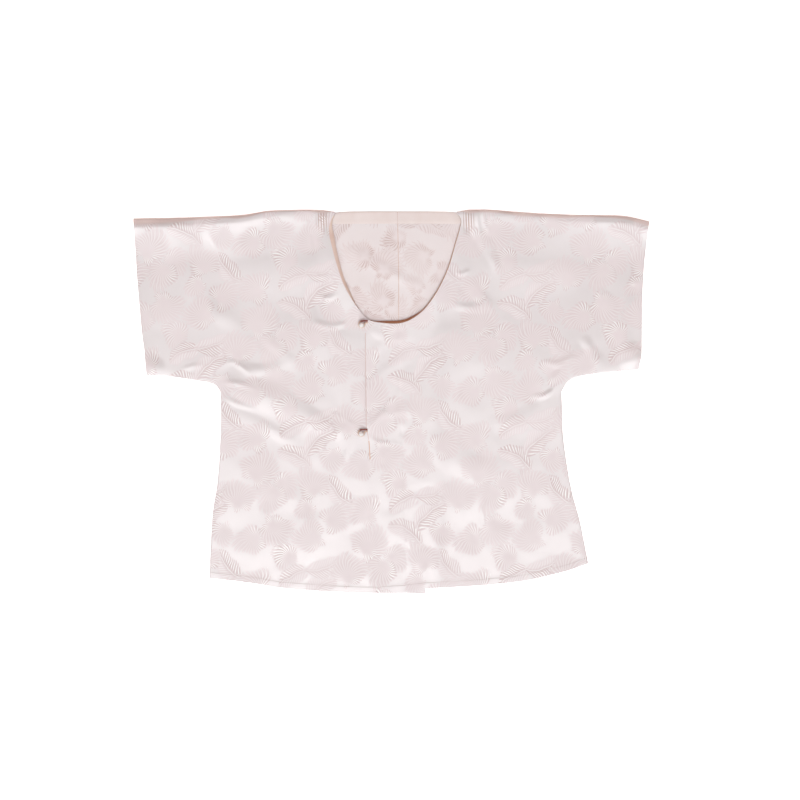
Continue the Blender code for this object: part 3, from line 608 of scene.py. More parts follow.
def fill_loop(loop, step):
    """Points and counter-clockwise triangles that fill a loop on an even lattice."""
    low, high = loop.min(0), loop.max(0)
    row_height = step * math.sqrt(0.75)
    rows = np.arange(int((high[1] - low[1]) / row_height) + 1)
    columns = np.arange(int((high[0] - low[0]) / step) + 1)
    rows, columns = np.meshgrid(rows, columns, indexing="ij")
    across = low[0] + (columns + 0.5 * (rows % 2)) * step
    grid = np.stack([across, low[1] + rows * row_height], -1).reshape(-1, 2)
    grid = grid[enclosed(loop, grid)]
    grid = grid[beside(np.vstack([loop, loop[:1]]), grid)[0] > CLEAR_OF_EDGE * step]
    points = np.vstack([loop, grid])
    found = delaunay_2d_cdt([Vector(p) for p in points], [], [list(range(len(loop)))], 1, 1e-5)
    source = [origins[0] for origins in found[3]]
    faces = []
    for face in found[2]:
        a, b, c = (source[index] for index in face)
        turn = turn_of(points[a], points[b], points[c])
        if abs(turn) > 1e-7:
            faces.append((a, b, c) if turn > 0 else (a, c, b))
    return points, faces


def cut_line(line, table, offset, keep):
    """The part of a polyline before or after it passes a line down the garment."""
    side = line[:, 0] - read_off(table, line[:, 1]) - offset
    number = int(np.where(side[:-1] * side[1:] <= 0)[0][0])
    share = side[number] / (side[number] - side[number + 1])
    spot = line[number] + share * (line[number + 1] - line[number])
    if keep == "before":
        return np.vstack([line[: number + 1], spot])
    return np.vstack([spot, line[number + 1 :]])


def down_line(table, offset, top, bottom):
    """Points beside a line down the garment, from one of its ends to the other."""
    levels = np.linspace(top[1], bottom[1], max(2, round(abs(top[1] - bottom[1]) / EDGE_STEP) + 1))
    line = np.stack([read_off(table, levels) + offset, levels], 1)
    line[0], line[-1] = top, bottom
    return line


def select(*pieces):
    """Selects these objects alone and makes the last one active."""
    bpy.ops.object.select_all(action="DESELECT")
    for piece in pieces:
        piece.select_set(True)
    bpy.context.view_layer.objects.active = pieces[-1]


class Cloth:
    """The outside of a piece of cloth in the making: its points, its faces and its flat pattern."""

    def __init__(self):
        self.points = []
        self.on_cloth = []
        self.hem = []
        self.faces = []

    def add(self, places, heights, on_cloth, hem=None):
        """Adds points, with where each lies on the flat cloth, along its hem and in from it."""
        first = len(self.points)
        self.points += [(x, y, z) for (x, y), z in zip(places, heights)]
        self.on_cloth += [tuple(place) for place in on_cloth]
        self.hem += [(NO_HEM, NO_HEM)] * len(places) if hem is None else [tuple(row) for row in hem]
        return first

    def span(self, rows, count):
        """Quads between rows of points that were added one after another, turned to face up."""
        for low in range(0, (rows - 1) * count, count):
            for n in range(low, low + count - 1):
                quad = (n, n + 1, n + 1 + count, n + count)
                turn = turn_of(*(self.points[corner] for corner in quad[:3]))
                self.faces.append(quad if turn > 0 else quad[::-1])

    def find(self, first, last, places):
        """Indices of the points, among those from first to last, that lie at the given places."""
        where = {(round(p[0], 3), round(p[1], 3)): n for n, p in enumerate(self.points[first:last], first)}
        return [where[(round(x, 3), round(y, 3))] for x, y in places]

    def round_over(self, low_row, high_row, outward, reaches):
        """A half round that joins a row of the back to the row of the front above it."""
        rows = [low_row]
        for number in range(1, ROUND_STEPS):
            angle = math.pi * (number / ROUND_STEPS - 0.5)
            share = number / ROUND_STEPS
            row = []
            for low, high, (out_x, out_y), reach in zip(low_row, high_row, outward, reaches):
                x, y, bottom = self.points[low]
                top = self.points[high][2]
                row.append(len(self.points))
                push = reach * math.cos(angle)
                rise = (top + bottom) / 2 + (top - bottom) / 2 * math.sin(angle)
                self.points.append((x + out_x * push, y + out_y * push, rise))
                blend = [a * (1 - share) + b * share for a, b in zip(self.on_cloth[low], self.on_cloth[high])]
                self.on_cloth.append(tuple(blend))
                self.hem.append(self.hem[high])
            rows.append(row)
        rows.append(high_row)
        for low, high in zip(rows, rows[1:]):
            for n in range(len(low) - 1):
                self.faces.append((low[n], low[n + 1], high[n + 1], high[n]))

    def finish(self, name, thickness, materials):
        """Makes the object, walls it inwards, and gives it UV maps: flat cloth, hem, and fold for its painted
        shade.
        """
        mesh = bpy.data.meshes.new(name)
        x, y = np.array(self.points, float)[:, :2].T
        # distance below the fold, and how far the fold's painted shade reaches
        fold = np.stack([read_off(SHOULDERS, x) - y, read_off(FOLD_SHADE, x)], 1)
        placed = [((x + SHIFT[0]) * MM, (y + SHIFT[1]) * MM, z * MM) for x, y, z in self.points]
        mesh.from_pydata(placed, [], self.faces)
        mesh.validate()
        for material in materials:
            mesh.materials.append(material)
        vertex = np.empty(len(mesh.loops), np.int32)
        mesh.loops.foreach_get("vertex_index", vertex)
        for layer, values in (("cloth", self.on_cloth), ("hem", self.hem), ("fold", fold)):
            flat = (np.array(values, float) * MM)[vertex].astype(np.float32)
            mesh.uv_layers.new(name=layer).data.foreach_set("uv", flat.ravel())
        cloth = bpy.data.objects.new(name, mesh)
        scene.collection.objects.link(cloth)
        select(cloth)
        if thickness:
            wall = cloth.modifiers.new("wall", "SOLIDIFY")
            wall.thickness = thickness * MM
            wall.offset = -1.0
            wall.material_offset = min(1, len(materials) - 1)
            wall.material_offset_rim = len(materials) - 1
            bpy.ops.object.modifier_apply(modifier="wall")
        bpy.ops.object.shade_smooth_by_angle(angle=SMOOTH_ANGLE)
        return cloth


def lay_line(onto, line, width, heights, material):
    """A narrow line of sewing or of folded edge, with painted shade in its silk, laid on a piece of cloth and
    joined to it.
    """
    out = outward_of(line, 1.0)
    ribbon = Cloth()
    for share in (0.5, -0.5):
        row = line + out * width * share
        ribbon.add(row, heights, row)
    ribbon.span(2, len(line))
    laid = ribbon.finish(onto.name + "_line", THREAD_THICKNESS, [material])
    select(laid, onto)
    bpy.ops.object.join()


def outward_of(line, turn):
    """Unit directions sideways from a line: to the right of its run for turn 1, to the left for -1."""
    run = np.gradient(line, axis=0)
    out = np.stack([run[:, 1], -run[:, 0]], 1) * turn
    return out / np.linalg.norm(out, axis=1)[:, None]


def hem_rows(places, hem_line):
    """For each place: how far along the hem it lies and how far from its edge."""
    distance, along = beside(hem_line, places)
    return np.stack([along, distance], 1)


def make_half(name, side, neck_line, height, materials):
    """One half: flat back, front laid on it, roll over the shoulder, and seams at side and underarm."""
    edges = EDGES[side]
    beside_seam = side * SEAM_SIDE
    reach = read_off(SHOULDER_REACH, edges["shoulder"][:, 0])
    shoulder = edges["shoulder"] - np.stack([0 * reach, reach], 1)
    cuff = edges["cuff"]
    cuff = np.vstack([shoulder[-1:], cuff[cuff[:, 1] < shoulder[-1][1] - 1.0]])
    rim = [shoulder, cuff, edges["underarm"], edges["side"]]

    hem_run = [(side * out, y) for out, y in HALVES[side]["hem"][:-1]]
    back_hem = smooth_line(hem_run + [BACK_HEM_ENDS[side]], EDGE_STEP)
    back_hem = cut_line(back_hem, BACK_SEAM, beside_seam, "before")
    top = np.array([read_off(BACK_SEAM, BACK_NECK_LEVEL) + beside_seam, BACK_NECK_LEVEL])
    corner = shoulder[0]
    inside, level = BACK_NECK_CORNER
    flat_end = (top[0] + side * BACK_NECK_FLAT, BACK_NECK_LEVEL)
    back_neck = smooth_line((top, flat_end, (corner[0] - side * inside, level), corner), EDGE_STEP)
    back = loop_of(*rim, back_hem, down_line(BACK_SEAM, beside_seam, back_hem[-1], top), back_neck)
    cloth = Cloth()
    places, faces = fill_loop(back, BACK_STEP)
    unfolded = np.stack([places[:, 0], 2 * read_off(edges["shoulder"], places[:, 0]) - places[:, 1]], 1)
    from_centre = (places - RUCK_CENTRE) / RUCK_REACH
    inside_neck = np.clip(1 - np.hypot(*from_centre.T), 0, 1)
    ruck = np.maximum(crease_height(places, BACK_CREASES), 0) * soft_step(inside_neck * 4)
    cloth.add(places, ruck, unfolded, hem_rows(places, back_hem))
    cloth.faces += [face[::-1] for face in faces]

    front_hem = cut_line(edges["hem"], FRONT_SEAM, beside_seam, "before")
    front_middle = down_line(FRONT_SEAM, beside_seam, front_hem[-1], neck_line[0])
    places, faces = fill_loop(loop_of(*rim, front_hem, front_middle, neck_line), FRONT_STEP)
    first = cloth.add(places, height(places), places, hem_rows(places, front_hem))
    cloth.faces += [tuple(first + n for n in face) for face in faces]
    last = len(cloth.points)

    joins = [(shoulder, reach, np.array([(0.0, 1.0)] * len(shoulder)))]
    for sewn in (edges["underarm"], edges["side"]):
        joins.append((sewn, np.full(len(sewn), SEAM_REACH), outward_of(sewn, -side)))
    for line, reaches, out in joins:
        low_row = cloth.find(0, first, line)
        high_row = cloth.find(first, last, line)
        cloth.round_over(low_row[::-side], high_row[::-side], out[::-side], reaches[::-side])
    return cloth.finish(name, SILK_THICKNESS, materials)


def read_uv(tree, layer):
    """A wire that carries one of the piece's UV maps."""
    return Wire(tree, None).node("ShaderNodeUVMap", {"uv_map": layer}, {})


# The jacquard's repeat, drawn for this cloth: fans of pine needles and feathery sprigs that touch and
# overlap. Every other column of the repeat drops by half. Millimetres and degrees.
REPEAT = (160.0, 216.0)
# Fans: x, y, turn, radius, needles, lean, sweep of the needles, lined side.
FANS = (
    (36, 168, 110, 17, 22, 0.35, 0.100, 120),
    (6, 100, 60, 21, 25, 0.40, 0.100, 20),
    (8, 204, -80, 20, 24, 0.40, -0.100, 200),
    (75, 24, 160, 19, 23, 0.35, 0.110, 150),
    (153, 28, 200, 26, 30, 0.42, 0.085, 170),
    (47, 204, 15, 24, 28, 0.48, -0.085, 200),
    (130, 118, -30, 28, 32, 0.46, 0.080, 160),
    (42, 128, 70, 25, 29, 0.38, -0.100, 190),
    (147, 76, 150, 23, 27, 0.46, 0.085, 210),
    (100, 79, -10, 26, 30, 0.52, -0.075, 175),
    (121, 165, 40, 25, 29, 0.40, 0.095, 150),
    (80, 154, -60, 23, 27, 0.42, -0.090, 185),
    (115, 14, 100, 23, 27, 0.46, 0.085, 165),
)
# Sprigs: x, y, turn, length, half width, bend.
SPRIGS = (
    (20, 22, 60, 58, 17, 8.0),
    (60, 48, -50, 60, 18, -8.0),
    (22, 66, 115, 54, 16, 7.0),
    (88, 196, 40, 58, 17, -8.0),
    (60, 88, -70, 54, 16, 8.0),
)
NEEDLE_PITCH = 4.8
EDGE_SOFTNESS = 0.45
OUTLINE = 1.2  # breadth of the bare ground round each motif
SWAY = (6, 6)  # how far the weave lets a motif wander, across and along


def seen_from(u, v, x, y, turn, rise):
    """A place in millimetres as seen from a motif of the repeat, with the motif's foot raised."""
    wide, tall = REPEAT
    column = u.times_plus(1 / wide, 8.5 - x / wide)
    right = u.maths("FRACT", column).times_plus(wide, -wide / 2)
    row = u.maths("FLOOR", column).times_plus(0.5, v.times_plus(1 / tall, 8.5 - y / tall))
    up = u.maths("FRACT", row).times_plus(tall, -tall / 2)
    cos, sin = math.cos(math.radians(turn)), math.sin(math.radians(turn))
    return right.times_plus(cos, up * sin), up.times_plus(cos, right.times_plus(-sin, rise))


def needle_row(wave):
    """Needles along a value that grows by one for each: distance from the gap beside it, and its length."""
    return wave.maths("PINGPONG", wave, 0.5), wave.maths("SINE", wave.maths("FLOOR", wave) * 7.3)


def draw_fan(u, v, x, y, turn, radius, needles, lean, sweep, lined_side):
    """Needles round a point near the fan's foot: outline, fill, lines and where lines and painted shade are
    strong.
    """
    x, y = seen_from(u, v, x, y, turn, radius * lean * 0.75)
    away = x.maths("SQRT", x.times_plus(x, y * y))
    angle = x.maths("ARCTAN2", x, y)
    from_gap, own = needle_row(angle.times_plus(needles / math.tau, away * sweep))
    # single needles and three broad lobes vary the reach, and each needle ends in a point
    uneven = own.times_plus(0.12, x.maths("SINE", angle.times_plus(3.0, needles)).times_plus(0.13, 1.0))
    reach = x.maths("COSINE", angle).times_plus(lean, uneven) * radius
    edge = reach.times_plus(from_gap.times_plus(0.54, 0.73), away * -1)
    halo = edge.between(-EDGE_SOFTNESS - OUTLINE, EDGE_SOFTNESS - OUTLINE)
    filled = edge.between(-EDGE_SOFTNESS, EDGE_SOFTNESS)
    # the gaps between needles show as lines where they are wide enough and on the lined side
    pitch = away * (math.tau / needles)
    strong = x.maths("COSINE", angle - math.radians(lined_side)).between(-0.5, 0.4)
    strong = strong.times_plus(0.62, 0.38) * own.times_plus(0.25, pitch).between(0.9, 2.8)
    line = 1 - (from_gap * pitch / pitch.times_plus(0.22, 0.4)).between(0.4, 1.0)
    rib = (1 - ((0.5 - from_gap) * pitch).between(0.1, 0.8)) * pitch.between(4.4, 6.2)
    line = x.maths("MAXIMUM", line, rib) * strong
    return halo, filled, line * filled, strong * filled


def draw_sprig(u, v, x, y, turn, length, half_width, bend):
    """Needles along both sides of a bowed rib: outline, fill, lines and where lines and painted shade are
    strong.
    """
    x, y = seen_from(u, v, x, y, turn, 0.0)
    # the rib bows sideways, and the needles lean forward from it and curve a little
    taper = 1 - x.maths("POWER", x.maths("ABSOLUTE", y * (2 / length)), 2.0)
    across = taper.times_plus(-bend, x)
    wide = x.maths("ABSOLUTE", across)
    bow = x.maths("SINE", y * 0.11).times_plus(2.0, y)
    from_gap, own = needle_row(wide.times_plus(-0.9 / NEEDLE_PITCH, bow * (1 / NEEDLE_PITCH)))
    # an oval body, ragged with single needles
    body = x.maths("SQRT", x.maths("MAXIMUM", taper, 0.0)).times_plus(1.15, -0.15)
    edge = (body * from_gap.times_plus(0.56, own.times_plus(0.08, 0.68))).times_plus(half_width, wide * -1)
    halo = edge.between(-EDGE_SOFTNESS - OUTLINE, EDGE_SOFTNESS - OUTLINE) * taper.between(0.0, 0.03)
    filled = edge.between(-EDGE_SOFTNESS, EDGE_SOFTNESS)
    # lines between the needles, stronger on one side of the rib, and the rib itself
    strong = across.between(-0.3 * half_width, 0.1 * half_width)
    line = 1 - (from_gap * NEEDLE_PITCH).between(0.45, 1.45)
    line = line * strong.times_plus(0.4, 0.6) * wide.between(0.0, 0.35 * half_width)
    rib = wide.between(0.4, 1.1).times_plus(-0.6, 0.6)
    return halo, filled, x.maths("MAXIMUM", line, rib) * filled, strong * filled


# One group of nodes that both sides of the silk share: a place on the cloth in; out the woven figure, the
# lines in it and the painted shade on its needles where their lines are strong.
jacquard = bpy.data.node_groups.new("pine_needle_jacquard", "ShaderNodeTree")
jacquard.interface.new_socket("Place", in_out="INPUT", socket_type="NodeSocketVector")
for output in ("Figure", "Lines", "Shade"):
    jacquard.interface.new_socket(output, in_out="OUTPUT", socket_type="NodeSocketFloat")
jacquard_place = Wire(jacquard, None).node("NodeGroupInput", {}, {}).shift("MULTIPLY", (1 / MM, 1 / MM, 0))
sway = jacquard_place.noise(0.05, 1.0, "Color").shift("SUBTRACT", (0.5, 0.5, 0.5))
drawn_place = sway.shift("MULTIPLY", (*SWAY, 0)).shift("ADD", jacquard_place)
u, v = drawn_place.part(0), drawn_place.part(1)
figure = lines = shade = u * 0
for draw, row in [(draw_sprig, row) for row in SPRIGS] + [(draw_fan, row) for row in FANS]:
    halo, filled, line, strong = draw(u, v, *row)
    outside = 1 - halo
    figure = figure.times_plus(outside, filled)
    lines = lines.times_plus(outside, line)
    shade = shade.times_plus(outside, strong)
jacquard_out = jacquard.nodes.new("NodeGroupOutput")
for output, value in (("Figure", figure), ("Lines", lines), ("Shade", shade * (1 - lines))):
    jacquard.links.new(value.socket, jacquard_out.inputs[output])


# Painted shade of the gathers' little folds, put into the silk's colour near the corners of the neck.
GATHERS = ((-99, 263), (113, 263))  # where the cloth is gathered below the corners of the neck
GATHER_PITCH = 3.7
GATHER_LEAN = 60.0
GATHER_SPREAD = (75.0, 42.0)  # one over the gathers' reach across and along, in metres
GATHER_STRENGTH = 0.75
GATHER_PAINTED_SHADE = (0.46, 0.29, 0.25, 1)
FOLD_PAINTED_SHADE = (0.82, 0.695, 0.67, 1)
GROOVE_PAINTED_SHADE = (0.62, 0.50, 0.47, 1)
STITCH = 2.6  # from one stitch of the hem to the next
FLOATS = (2600.0, 420.0, 1.0)  # the satin's threads float along the cloth
CLOUDS = 13.0  # scale of the wide uneven tone
SILK_LUSTRE = {"Sheen Weight": 0.1, "Sheen Roughness": 0.4, "Specular IOR Level": 0.8}


def shade_gathers(place, colour):
    """The colour with the painted shade of the gathers' little folds in it."""
    wave = place.part(0).times_plus(math.tau / (GATHER_PITCH * MM), place.part(1) * GATHER_LEAN)
    folds = place.maths("SINE", wave).between(-0.6, 0.7)
    for x, y in GATHERS:
        reach = place.shift("SUBTRACT", (x * MM, y * MM, 0)).shift("MULTIPLY", (*GATHER_SPREAD, 0))
        reach = reach.node("ShaderNodeVectorMath", {"operation": "LENGTH"}, {0: reach}, "Value")
        strength = GATHER_STRENGTH - reach.between(0.2, 1.0) * GATHER_STRENGTH
        colour = (folds * strength).blend(colour, GATHER_PAINTED_SHADE)
    return colour


def silk_finish(name, ground, motif, lined, shaded, ground_gloss, motif_gloss):
    """Satin ground and matt jacquard figures, with a stitched hem. A gloss is roughness and metal share."""
    material, tree, shader = new_finish(name, SILK_LUSTRE)
    place = read_uv(tree, "cloth")
    figure = place.node("ShaderNodeGroup", {"node_tree": jacquard}, {"Place": place})
    lines, shade = (Wire(tree, figure.socket.node.outputs[name]) for name in ("Lines", "Shade"))
    # the figures' lines are clearer in some wide patches than in others, and some are a little duller
    clouds = place.noise(CLOUDS)
    clear = clouds.between(0.36, 0.6).times_plus(0.5, 0.5)
    # painted shade on the needles where their lines are strong, then the lines: painted highlight on the
    # satin, painted shade on the reverse
    colour = (shade * clear).blend(figure.blend((*ground, 1), (*motif, 1)), (*shaded, 1))
    colour = (lines * clear).blend(colour, (*lined, 1))
    matt = figure * (1 - lines * 0.8)
    dull = colour.node("ShaderNodeHueSaturation", {}, {"Color": colour, "Saturation": 1.1, "Value": 0.985})
    colour = shade_gathers(place, clouds.between(0.3, 0.75).blend(colour, dull))
    # the painted warm shade of the shoulder's fold, then the groove of the hem with painted shade in it, and
    # its stitches
    fold = read_uv(tree, "fold")
    colour = (fold.part(0) / fold.part(1)).between(0.55, 1.15).blend(FOLD_PAINTED_SHADE, colour)
    hem = read_uv(tree, "hem")
    groove = 1 - hem.maths("ABSOLUTE", hem.part(1) - HEM_DEPTH * MM).between(0.0001, 0.0009)
    dash = hem.maths("SINE", hem.part(0) * (math.tau / (STITCH * MM))).between(-0.5, 0.1)
    # painted shade in the hem's groove
    colour = (groove * 0.14).blend(colour, GROOVE_PAINTED_SHADE)
    weave = place.shift("MULTIPLY", FLOATS).noise(1.0, 1.0)
    height = weave * 0.3 - groove * 0.7 + groove * dash * 0.4
    bump = place.node("ShaderNodeBump", {}, {"Strength": 0.8, "Distance": 0.00050, "Height": height})
    for socket, value in (
        ("Base Color", colour),
        ("Roughness", matt.times_plus(motif_gloss[0] - ground_gloss[0], ground_gloss[0])),
        ("Metallic", matt.times_plus(motif_gloss[1] - ground_gloss[1], ground_gloss[1])),
        ("Normal", bump),
    ):
        tree.links.new(value.socket, shader.inputs[socket])
    return material


def plain_silk(name, light, dark, turned=None):
    """Plain silk, finely woven, uneven in tone. Turned is a deeper tone of painted shade and the levels it
    fades over.
    """
    material, tree, shader = new_finish(name, {"Roughness": 0.55, "Sheen Weight": 0.15})
    place = read_uv(tree, "cloth")
    colour = place.noise(40.0).between(0.3, 0.7).blend((*light, 1), (*dark, 1))
    if turned:
        deep, low, high = turned
        colour = place.part(1).between(low * MM, high * MM).blend((*deep, 1), colour)
    tree.links.new(colour.socket, shader.inputs["Base Color"])
    weave = place.shift("MULTIPLY", (1800.0, 600.0, 1.0)).noise(1.0)
    bump = place.node("ShaderNodeBump", {}, {"Strength": 0.4, "Distance": 0.0002, "Height": weave})
    tree.links.new(bump.socket, shader.inputs["Normal"])
    return material


# The right side and the reverse of the silk: colours of the ground, the motifs, the lines in them and the
# painted shade on their needles, then the gloss of the ground and of the motifs. The lines' colour is
# painted:
# a white highlight on the satin, a darker shade on the reverse.
SATIN = silk_finish(
    "white_silk_satin",
    (0.86, 0.825, 0.834),
    (0.87, 0.805, 0.82),
    (1.0, 1.0, 1.0),
    (0.74, 0.645, 0.655),
    (0.30, 0.24),
    (0.60, 0.0),
)
REVERSE = silk_finish(
    "silk_reverse",
    (0.91, 0.86, 0.865),
    (0.90, 0.835, 0.84),
    (0.68, 0.56, 0.545),
    (0.88, 0.81, 0.81),
    (0.62, 0.0),
    (0.45, 0.05),
)

right_neck = cut_line(NECK, FRONT_SEAM, -SEAM_SIDE, "before")
left_neck = cut_line(NECK, FRONT_SEAM, SEAM_SIDE, "after")

right_cloth = make_half("right_half_cloth", RIGHT, right_neck[::-1], right_front, [SATIN, REVERSE])
# the line along the back seam: its stitching, with painted shade of the seam
seam_shade = plain_silk("back_seam_thread", (0.76, 0.60, 0.52), (0.68, 0.50, 0.42))
seam_top, seam_foot, seam_width = SEAM_THREAD_AND_SHADE
seam_levels = np.linspace(seam_top, seam_foot, 200)
seam_line = np.stack([read_off(BACK_SEAM, seam_levels), seam_levels], 1)
seam_heights = crease_height(seam_line, BACK_CREASES) + SILK_THICKNESS + SEAM_THREAD_ROOM
lay_line(right_cloth, seam_line, seam_width, seam_heights, seam_shade)
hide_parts("right_half")
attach(right_cloth, "root")

left_cloth = make_half("left_half_cloth", LEFT, left_neck, left_front, [SATIN, REVERSE])
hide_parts("left_half")
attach(left_cloth, "root")

# The strips down the front: one sewn to the left front's edge that laps over the right front, and one sewn
# to the right front's edge that lies below. Both are the same silk, cut straight.
# The turned-in edge's peach with painted shade along the edge; the stretch below the lower fastening is
# darker.
TURNED_EDGE_AND_SHADE = plain_silk("silk_turned_edge", (0.80, 0.68, 0.66), (0.74, 0.61, 0.59))
LOWER_EDGE_AND_SHADE = plain_silk("silk_loose_edge", (0.80, 0.55, 0.42), (0.72, 0.46, 0.34))
# Stretches of the overlap's turned-in edge that show, with painted shade of the edge in their colour, darker
# below the lower fastening: top, bottom, width, silk.
EDGE_LINES = ((100.0, -56.0, 1.2, TURNED_EDGE_AND_SHADE), (-57.0, -84.0, 1.2, LOWER_EDGE_AND_SHADE))
EDGE_INSET = 0.7
EDGE_ROOM = 0.08
OVERLAP_FEET = (-275.9, -278.0)  # the hem's level at the front seam and at the strip's free edge
UNDERLAP_FEET = (-278.8, -279.5)


def strip_hem(feet, edge, side):
    """A strip's hem, straight from the front seam to its free edge."""
    foot, low = feet
    seam_corner = (read_off(FRONT_SEAM, foot) + side * SEAM_SIDE, foot)
    return even_points(np.array([seam_corner, (read_off(edge, low), low)]), EDGE_STEP)


def make_strip(name, lines, hem_line, height, materials):
    """A strip that fills the loop of its edge lines, as high as the front that it belongs to."""
    cloth = Cloth()
    places, faces = fill_loop(loop_of(*lines), FRONT_STEP)
    cloth.add(places, height(places), places, hem_rows(places, hem_line))
    cloth.faces += faces
    return cloth.finish(name, SILK_THICKNESS, materials)


overlap_neck = cut_line(right_neck, OVERLAP_EDGE, 0.0, "after")
overlap_hem = strip_hem(OVERLAP_FEET, OVERLAP_EDGE, RIGHT)
overlap = make_strip(
    "overlap_strip_cloth",
    [
        overlap_neck,
        down_line(FRONT_SEAM, -SEAM_SIDE, overlap_neck[-1], overlap_hem[0]),
        overlap_hem,
        down_line(OVERLAP_EDGE, 0.0, overlap_hem[-1], overlap_neck[0]),
    ],
    overlap_hem,
    left_front,
    [SATIN, REVERSE, TURNED_EDGE_AND_SHADE],
)
for top, bottom, width, edge_silk in EDGE_LINES:
    edge_levels = np.linspace(top, bottom, round((top - bottom) / EDGE_STEP))
    edge_line = np.stack([read_off(OVERLAP_EDGE, edge_levels) + EDGE_INSET, edge_levels], 1)
    lay_line(overlap, edge_line, width, left_front(edge_line) + EDGE_ROOM, edge_silk)
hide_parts("overlap_strip")
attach(overlap, "root")

underlap_neck = cut_line(left_neck, UNDERLAP_EDGE, 0.0, "before")
underlap_hem = strip_hem(UNDERLAP_FEET, UNDERLAP_EDGE, LEFT)
underlap = make_strip(
    "underlap_strip_cloth",
    [
        underlap_neck,
        down_line(UNDERLAP_EDGE, 0.0, underlap_neck[-1], underlap_hem[-1]),
        underlap_hem[::-1],
        down_line(FRONT_SEAM, SEAM_SIDE, underlap_hem[0], underlap_neck[0]),
    ],
    underlap_hem,
    right_front,
    [SATIN, REVERSE],
)
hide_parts("underlap_strip")
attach(underlap, "root")

# The facings: narrow bands of plain cream silk turned in along the neck edge of each front, and a deeper
# band inside the back neck, in two lengths that meet at the back seam. The neck facings are coloured peach
# and tan as painted shade, deepest near the bottom of the neck.
CREAM = plain_silk("cream_facing_silk", (0.90, 0.82, 0.80), (0.88, 0.79, 0.765))
# painted shade: deeper tones of the neck facings near the bottom of the neck, and the levels they fade over
RIGHT_FACING_DEEP_SHADE = ((0.70, 0.44, 0.32), 112.0, 134.0)
LEFT_FACING_DEEP_SHADE = ((0.42, 0.19, 0.105), 119.0, 150.0)
RIGHT_FACING_PAINTED_SHADE = plain_silk("peach_facing_silk", (0.84, 0.68, 0.60), (0.78, 0.60, 0.52), RIGHT_FACING_DEEP_SHADE)
LEFT_FACING_PAINTED_SHADE = plain_silk("tan_facing_silk", (0.74, 0.52, 0.42), (0.68, 0.46, 0.36), LEFT_FACING_DEEP_SHADE)

# How much of each neck facing shows past the neck edge, as (y, width).
RIGHT_SHOWS = ((112, 1.2), (122, 2.2), (135, 3.4), (190, 4.4), (240, 6.6), (262, 7.0))
LEFT_SHOWS = ((112, 4.2), (117, 3.6), (132, 1.8), (262, 1.2))
END_SHARE = 0.25  # the share of that which shows at a facing's ends
END_POINTS = 12.0
FACING_TOP = 271
FACING_UNDER = 10.0  # how far a neck facing reaches under its front
FACING_ROOM = 0.06
FACING_THICKNESS = 0.5
# Rows across a neck facing: share of what shows, distance under the front, drop below it.
FACING_ROWS = (
    (1.0, 0.0, 2.4),
    (0.6, 0.0, 1.2),
    (0.25, 0.0, 0.35),
    (0.0, 0.0, 0.0),
    (0.0, 3.0, 0.0),
    (0.0, 6.0, 0.0),
    (0.0, FACING_UNDER, 0.0),
)
NECK_FACINGS = (
    ("right_neck_facing", NECK[:, 0] < -46, RIGHT_SHOWS, right_front, RIGHT_FACING_PAINTED_SHADE),
    ("left_neck_facing", NECK[:, 0] > -30, LEFT_SHOWS, left_front, LEFT_FACING_PAINTED_SHADE),
)
neck_out = outward_of(NECK, 1.0)
for name, follows, shows, height, silk in NECK_FACINGS:
    follows = follows & (NECK[:, 1] < FACING_TOP)
    line, out = NECK[follows], neck_out[follows]
    from_end = np.minimum(np.arange(len(line)), np.arange(len(line))[::-1])
    narrowing = END_SHARE + (1 - END_SHARE) * soft_step(from_end / END_POINTS)
    shown = (read_off(shows, line[:, 1]) * narrowing)[:, None]
    cloth = Cloth()
    for share, under, drop in FACING_ROWS:
        row = line + out * (under - share * shown)
        level = height(line if drop else row) - SILK_THICKNESS - FACING_ROOM - drop
        cloth.add(row, level, row)
    cloth.span(len(FACING_ROWS), len(line))
    facing = cloth.finish(name + "_silk", FACING_THICKNESS, [silk])
    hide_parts(name)
    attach(facing, "root")
    width = (FACING_UNDER + float(shown.mean())) * MM

# The back facings: x, y and depth below it, along the top edge of each.
BACK_FACINGS = {
    "right_back_facing": ((-80, 273.5, 14.0), (-74, 275.2, 17.0), (-40, 276.2, 17.5), (9.7, 276.4, 17.5)),
    "left_back_facing": ((10.3, 276.4, 17.5), (50, 276.4, 17.5), (90, 275.4, 17.0), (96, 273.8, 14.0)),
}
BACK_FACING_LEVEL = 2.5
BACK_FACING_WAVES = (0.25, 12.0, 31)  # height, spacing, seed
BACK_FACING_ROWS = 8
BACK_FACING_THICKNESS = 0.6
EDGE_DIP = 0.3
NECK_MIDDLE = 8.0
NECK_HALF_WIDTH = 88.0
TUCK = (8.5, 18.0)  # how far the lower ends are tucked below the fronts, and over what stretch
for name, rows in BACK_FACINGS.items():
    top_line = smooth_line([(x, y) for x, y, _ in rows], EDGE_STEP)
    depth = read_off([(x, deep) for x, _, deep in rows], top_line[:, 0])
    from_middle = top_line[:, 0] - NECK_MIDDLE
    tuck, stretch = TUCK
    tucked = tuck * (1 - soft_step(np.abs(np.abs(from_middle) - NECK_HALF_WIDTH) / stretch))
    low_line = top_line + np.stack([tucked * np.sign(from_middle), -depth], 1)
    height, spacing, seed = BACK_FACING_WAVES
    cloth = Cloth()
    for share in np.linspace(0, 1, BACK_FACING_ROWS):
        row = low_line * (1 - share) + top_line * share
        level = BACK_FACING_LEVEL + height * uneven(row, spacing, seed) - EDGE_DIP * (share in (0.0, 1.0))
        cloth.add(row, level, row)
    cloth.span(BACK_FACING_ROWS, len(top_line))
    facing = cloth.finish(name + "_silk", BACK_FACING_THICKNESS, [CREAM])
    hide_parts(name)
    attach(facing, "root")

